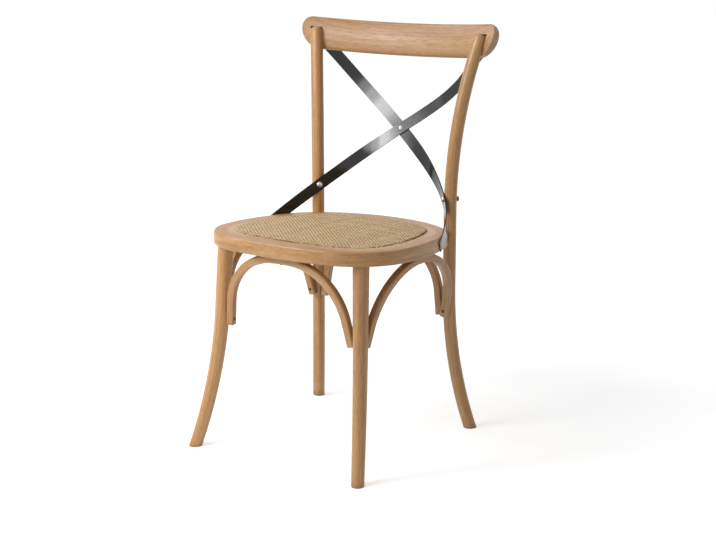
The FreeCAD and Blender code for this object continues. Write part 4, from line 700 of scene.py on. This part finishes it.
def panel_place(tree, given, spot, shift, side):
    """Where a strand's point lies on the panel or beside it, and whether it is too far out."""
    pitch, rise, panel = (given.outputs[name] for name in ("Strand Pitch", "Rise", "Geometry"))
    waves = [calc(tree, "COSINE", calc(tree, "MULTIPLY", calc(tree, "DIVIDE", place, pitch), math.pi))
             for place in (spot[0], spot[1])]
    wave = calc(tree, "MULTIPLY", calc(tree, "MULTIPLY", waves[0], waves[1]), side)
    lift = calc(tree, "MULTIPLY", calc(tree, "ADD", wave, STRAND_REST), rise)
    flat = vector_calc(tree, "ADD", add(tree, "GeometryNodeInputPosition"), shift)
    flat = vector_calc(tree, "ADD", flat, given.outputs["Seat Middle"])
    drop = calc(tree, "MULTIPLY", calc(tree, "MULTIPLY", spot[1], given.outputs["Seat Fall"]), -1.0)
    flat = vector_calc(tree, "ADD", flat, on_axis(tree, "Z", drop))
    ray = add(tree, "GeometryNodeRaycast", {
        "Target Geometry": panel, "Source Position": vector_calc(tree, "ADD", flat, (0, 0, RAY_START)),
        "Ray Direction": (0, 0, -1), "Ray Length": RAY_LENGTH})
    lying = vector_calc(tree, "ADD", ray.outputs["Hit Position"],
                        vector_calc(tree, "SCALE", ray.outputs["Hit Normal"], lift))
    near = add(tree, "GeometryNodeProximity", {
        "Target": panel, "Source Position": flat}, target_element="FACES")
    edge, beyond = near.outputs["Position"], near.outputs["Distance"]
    outward = vector_calc(tree, "NORMALIZE", vector_calc(tree, "SUBTRACT", flat, edge))
    dip = calc(tree, "SUBTRACT", calc(tree, "MULTIPLY", given.outputs["End Tuck"], -1.0), beyond)
    tucked = vector_calc(tree, "ADD", edge, on_axis(tree, "Z", dip))
    tucked = vector_calc(tree, "ADD", tucked, vector_calc(tree, "SCALE", outward, rise))
    place = add(tree, "GeometryNodeSwitch", {
        "Switch": ray.outputs["Is Hit"], "False": tucked, "True": lying}, input_type="VECTOR")
    missed = add(tree, "FunctionNodeBooleanMath", {0: ray.outputs["Is Hit"]}, operation="NOT")
    far = add(tree, "FunctionNodeCompare", {"A": beyond, "B": given.outputs["End Reach"]},
              data_type="FLOAT", operation="GREATER_THAN")
    return place, add(tree, "FunctionNodeBooleanMath", {0: missed, 1: far}, operation="AND")


def store(tree, geometry, name, value, kind):
    return add(tree, "GeometryNodeStoreNamedAttribute", {
        "Geometry": geometry, "Name": name, "Value": value}, data_type=kind, domain="POINT")


def strand_family(tree, given, lengthwise):
    """Strands in one direction, laid on the panel, over and under the other family's strands."""
    along_axis, across_axis = ("Y", "X") if lengthwise else ("X", "Y")
    strands = straight_strands(tree, given, along_axis, across_axis)
    spot = split(tree, add(tree, "GeometryNodeInputPosition"))
    across, along = (spot[0], spot[1]) if lengthwise else (spot[1], spot[0])
    pitch = given.outputs["Strand Pitch"]
    lane = calc(tree, "ROUND", calc(tree, "DIVIDE", across, pitch))
    seed = calc(tree, "ADD", lane, given.outputs["Seed"])
    own = add(tree, "FunctionNodeRandomValue", {"ID": seed, "Seed": 3 if lengthwise else 8},
              data_type="FLOAT").outputs[1]
    record = add(tree, "ShaderNodeCombineXYZ", {
        "X": along, "Y": own, "Z": calc(tree, "MULTIPLY", lane, LANE_STEP)})
    strands = store(tree, strands, "cane", record, "FLOAT_VECTOR")
    reach = calc(tree, "MULTIPLY", pitch, given.outputs["Wander"])
    shift = on_axis(tree, across_axis, calc(tree, "MULTIPLY", calc(tree, "SUBTRACT", own, 0.5), reach))
    place, away = panel_place(tree, given, spot, shift, 1.0 if lengthwise else -1.0)
    laid = store(tree, strands, "away", away, "BOOLEAN")
    laid = add(tree, "GeometryNodeSetPosition", {"Geometry": laid, "Position": place})
    gone = add(tree, "GeometryNodeInputNamedAttribute", {"Name": "away"}, data_type="BOOLEAN")
    laid = add(tree, "GeometryNodeDeleteGeometry", {"Geometry": laid, "Selection": gone}, domain="POINT")
    laid = add(tree, "GeometryNodeSetCurveNormal", {"Curve": laid}, mode="Z_UP")
    section = add(tree, "GeometryNodeCurvePrimitiveCircle", {"Resolution": 4, "Radius": 0.5}, mode="RADIUS")
    size = add(tree, "ShaderNodeCombineXYZ", {
        "X": given.outputs["Strand Width"], "Y": given.outputs["Strand Thickness"], "Z": 1.0})
    section = add(tree, "GeometryNodeTransform", {"Geometry": section, "Scale": size})
    ribbons = add(tree, "GeometryNodeCurveToMesh", {
        "Curve": laid, "Profile Curve": section, "Fill Caps": True})
    return add(tree, "GeometryNodeSetShadeSmooth", {"Geometry": ribbons})


def join_geometry(tree, parts):
    whole = tree.nodes.new("GeometryNodeJoinGeometry")
    for part in parts:
        tree.links.new(part.outputs[0], whole.inputs[0])
    return whole


def weave_tree():
    tree, given, result = start_tree("woven_cane", (
        ("Strand Pitch", "Float"), ("Strand Count", "Int"), ("Strand Width", "Float"),
        ("Strand Thickness", "Float"), ("Rise", "Float"), ("Wander", "Float"), ("End Tuck", "Float"),
        ("End Reach", "Float"), ("Seat Middle", "Vector"), ("Seat Fall", "Float"), ("Seed", "Int"),
        ("Cane", "Material"), ("Painted Shade Layer", "Material")))
    strands = join_geometry(tree, [strand_family(tree, given, lengthwise) for lengthwise in (True, False)])
    strands = realize_in(tree, strands, given.outputs["Cane"])
    # The panel shows under the strands in its darker colour, as painted shade between them and in the
    # groove.
    under = realize_in(tree, given.outputs["Geometry"], given.outputs["Painted Shade Layer"])
    tree.links.new(join_geometry(tree, (strands, under)).outputs[0], result.inputs[0])
    return tree


def weave_seat():
    panel = link_object("panel", merged_copy("rattan_panel", "panel"))
    mesh = grow("woven_seat", panel, weave_tree(), {
        "Strand Pitch": STRAND_PITCH, "Strand Count": STRAND_COUNT, "Strand Width": STRAND_WIDTH,
        "Strand Thickness": STRAND_THICKNESS, "Rise": STRAND_RISE, "Wander": STRAND_WANDER,
        "End Tuck": STRAND_TUCK, "End Reach": STRAND_END, "Seat Middle": (0, SEAT_MIDDLE, SEAT_HEIGHT),
        "Seat Fall": SEAT_FALL, "Seed": 5, "Cane": CANE, "Painted Shade Layer": PAINTED_SHADE_LAYER})
    if "away" in mesh.attributes:
        mesh.attributes.remove(mesh.attributes["away"])
    return place_piece("woven_seat", mesh, "rattan", "rattan_panel")


weave_seat()


def screw_shape(length):
    """Screw with a domed head and a cross recess; its seat is at the origin, its head points up."""
    half = SCREW_HEAD / 2
    domed = SCREW_DOME - SCREW_RIM
    radius = (half ** 2 + domed ** 2) / (2 * domed)
    outline = [(0, SCREW_DOME)]
    for step in range(1, DOME_STEPS + 1):
        across = half * step / DOME_STEPS
        outline.append((across, SCREW_DOME - radius + math.sqrt(radius ** 2 - across ** 2)))
    shank = SCREW_SHANK / 2
    outline += [(half, 0), (shank, 0), (shank, -length * SCREW_TIP), (0, -length)]
    arm, slot = SCREW_HEAD * RECESS_LONG, SCREW_HEAD * RECESS_NARROW
    cross = []
    for along, aside in ((1, 0), (0, 1), (-1, 0), (0, -1)):
        for out, over in ((arm, -slot), (arm, slot), (slot, slot)):
            cross.append((along * out - aside * over, aside * out + along * over))
    levels = (SCREW_DOME * RECESS_TOP, SCREW_DOME * RECESS_FLOOR)
    recess = prism(*([(x, y, height) for x, y in cross] for height in levels))
    mesh = combine(turned_shape(outline, TURN_STEPS), recess, "DIFFERENCE")
    shade(mesh, SCREW_CREASE)
    return link_object("screw_shape", mesh)


def islands(work):
    """Places of the vertices that hang together, group by group, always in the mesh's own order."""
    work.verts.index_update()
    found = set()
    for start in work.verts:
        if start.index in found:
            continue
        found.add(start.index)
        island = [start]
        for vert in island:
            for link in vert.link_edges:
                other = link.other_vert(vert)
                if other.index not in found:
                    found.add(other.index)
                    island.append(other)
        island.sort(key=lambda vert: vert.index)
        yield np.array([vert.co[:] for vert in island])


def screw_seats(node):
    """Seat and outward axis of each screw in a node, read from its solids."""
    work = bmesh.new()
    work.from_mesh(merged_copy(node, "seats"))
    seats = []
    for cloud in islands(work):
        middle = (cloud.min(axis=0) + cloud.max(axis=0)) / 2
        axis = np.linalg.svd(cloud - cloud.mean(axis=0), full_matrices=False)[2][0]
        run = (cloud - middle) @ axis
        reach = np.linalg.norm((cloud - middle) - np.outer(run, axis), axis=1)
        if reach[run > 0].max() < reach[run < 0].max():
            axis, run = -axis, -run
        # The head's rim is a full circle, so its middle lies on the screw's own axis.
        rim = cloud[reach > reach.max() * RIM_SHARE]
        centre = (rim.min(axis=0) + rim.max(axis=0)) / 2
        tip = centre + axis * (run.max() - (centre - middle) @ axis)
        seats.append((tip - axis * SCREW_DOME, axis))
    work.free()
    return seats


def screw_tree():
    tree, given, result = start_tree("cross_head_screws", (
        ("Screw", "Object"), ("Turn", "Float"), ("Seed", "Int"), ("Finish", "Material")))
    shape = add(tree, "GeometryNodeObjectInfo", {"Object": given.outputs["Screw"], "As Instance": True})
    axis = add(tree, "GeometryNodeInputNamedAttribute", {"Name": "axis"}, data_type="FLOAT_VECTOR")
    aimed = add(tree, "FunctionNodeAlignRotationToVector", {"Vector": axis}, axis="Z")
    turned = add(tree, "FunctionNodeRandomValue", {
        2: 0.0, 3: given.outputs["Turn"], "Seed": given.outputs["Seed"]}, data_type="FLOAT").outputs[1]
    aimed = add(tree, "FunctionNodeRotateRotation", {
        "Rotation": aimed, "Rotate By": on_axis(tree, "Z", turned)}, rotation_space="LOCAL")
    placed = add(tree, "GeometryNodeInstanceOnPoints", {
        "Points": given.outputs["Geometry"], "Instance": shape.outputs["Geometry"], "Rotation": aimed})
    placed = realize_in(tree, placed, given.outputs["Finish"])
    tree.links.new(placed.outputs[0], result.inputs[0])
    return tree


SCREW_TREE = screw_tree()


def set_screws(node, name, slot, finish, length, seed):
    """Replaces a node's plain screws by cross-head ones at the same seats."""
    seats = screw_seats(node)
    points = bpy.data.meshes.new(name)
    points.from_pydata([tuple(seat) for seat, axis in seats], [], [])
    field = points.attributes.new("axis", "FLOAT_VECTOR", "POINT")
    field.data.foreach_set("vector", np.array([axis for seat, axis in seats], np.float32).ravel())
    base = link_object(name + "_seats", points)
    shape = screw_shape(length)
    mesh = grow(name, base, SCREW_TREE, {"Screw": shape, "Turn": math.pi, "Seed": seed, "Finish": finish})
    bpy.data.objects.remove(shape)
    return place_piece(name, mesh, slot, node)


set_screws("strap_seat_screws", "screws_strap_to_seat", "bright_steel", PLATED, 0.0115, 1)
set_screws("strap_crest_screws", "screws_strap_to_rail", "bright_steel", PLATED, 0.0115, 2)
set_screws("crest_post_screws", "screws_rail_to_post", "dark_steel", DARKENED, 0.030, 3)
set_screws("post_seat_bolts", "bolts_post_to_seat", "dark_steel", DARKENED, 0.046, 4)
set_screws("arch_leg_screws", "screws_arch_to_leg", "dark_steel", DARKENED, 0.030, 5)
set_screws("arch_seat_screws", "screws_arch_to_seat", "dark_steel", DARKENED, 0.030, 6)
set_screws("board_screws", "screws_board", "dark_steel", DARKENED, 0.024, 7)


# A pale room: floor and world, three panels ahead on the left that fade across, and a high softbox.

def seen_share(tree):
    """One for what the camera sees, straight or in metal or glass, and nought for other light."""
    seen = add(tree, "ShaderNodeLightPath").outputs
    share = calc(tree, "MAXIMUM", seen["Is Camera Ray"], seen["Is Glossy Ray"])
    return calc(tree, "MAXIMUM", share, seen["Is Transmission Ray"])


def lay_floor():
    corners = [(across * FLOOR_REACH, deep * FLOOR_REACH, 0) for across, deep in (
        (-1, -1), (1, -1), (1, 1), (-1, 1))]
    mesh = listed_mesh("floor", corners, [(0, 1, 2, 3)])
    floor = link_object("floor", mesh)
    material, tree, shader = start_material("pale_floor")
    here = object_place(tree)
    colour = ramp(tree, noise(tree, here, (3, 3, 3), 2), (0.3, (238, 238, 238)), (0.7, (243, 243, 243)))
    tree.links.new(colour, shader.inputs["Base Color"])
    shader.inputs["Roughness"].default_value = 0.9
    shader.inputs["Specular IOR Level"].default_value = 0.1
    # The lamps' light falls off away from the chair, and the white of the backdrop takes over.
    away = add(tree, "ShaderNodeVectorMath", {0: here}, operation="LENGTH").outputs["Value"]
    white = calc(tree, "MULTIPLY", seen_share(tree), spread(
        tree, away, GLOW_NEAR, GLOW_FAR, GLOW_LOW, GLOW_HIGH))
    shader.inputs["Emission Color"].default_value = (1, 1, 1, 1)
    tree.links.new(white, shader.inputs["Emission Strength"])
    mesh.materials.append(material)


def light_room():
    world = bpy.data.worlds.new("room")
    world.use_nodes = True
    tree = world.node_tree
    tree.nodes.clear()
    strength = add(tree, "ShaderNodeMapRange", {
        "Value": seen_share(tree), "From Min": 0.0, "From Max": 1.0, "To Min": ROOM_LIGHT, "To Max": 1.0})
    shade_of_room = add(tree, "ShaderNodeBackground", {"Color": (1, 1, 1, 1), "Strength": strength})
    add(tree, "ShaderNodeOutputWorld", {"Surface": shade_of_room})
    bpy.context.scene.world = world


def hang_softbox(name, turn, rise, wide, high, radiance):
    """Lamp aimed at the straps' crossing, its place in degrees round the chair and up."""
    away = direction(math.radians(turn), math.radians(rise))
    lamp = bpy.data.lights.new(name, "AREA")
    lamp.shape = "RECTANGLE"
    lamp.size, lamp.size_y = wide, high
    lamp.energy = math.pi * wide * high * radiance
    box = link_object(name, lamp)
    box.location = Vector(LAMP_TARGET) + away * LAMP_DISTANCE
    box.rotation_euler = away.to_track_quat("Z", "Y").to_euler()


lay_floor()
light_room()
hang_softbox("key_left_panel", -33, 25, 0.44, 1.0, 16)
hang_softbox("key_middle_panel", -22.5, 25, 0.5, 1.0, 8)
hang_softbox("key_right_panel", -11, 25, 0.6, 1.0, 4.2)
hang_softbox("high_softbox", -68, 44, 1.6, 1.6, 2.4)

bpy.context.scene.view_settings.view_transform = "Standard"
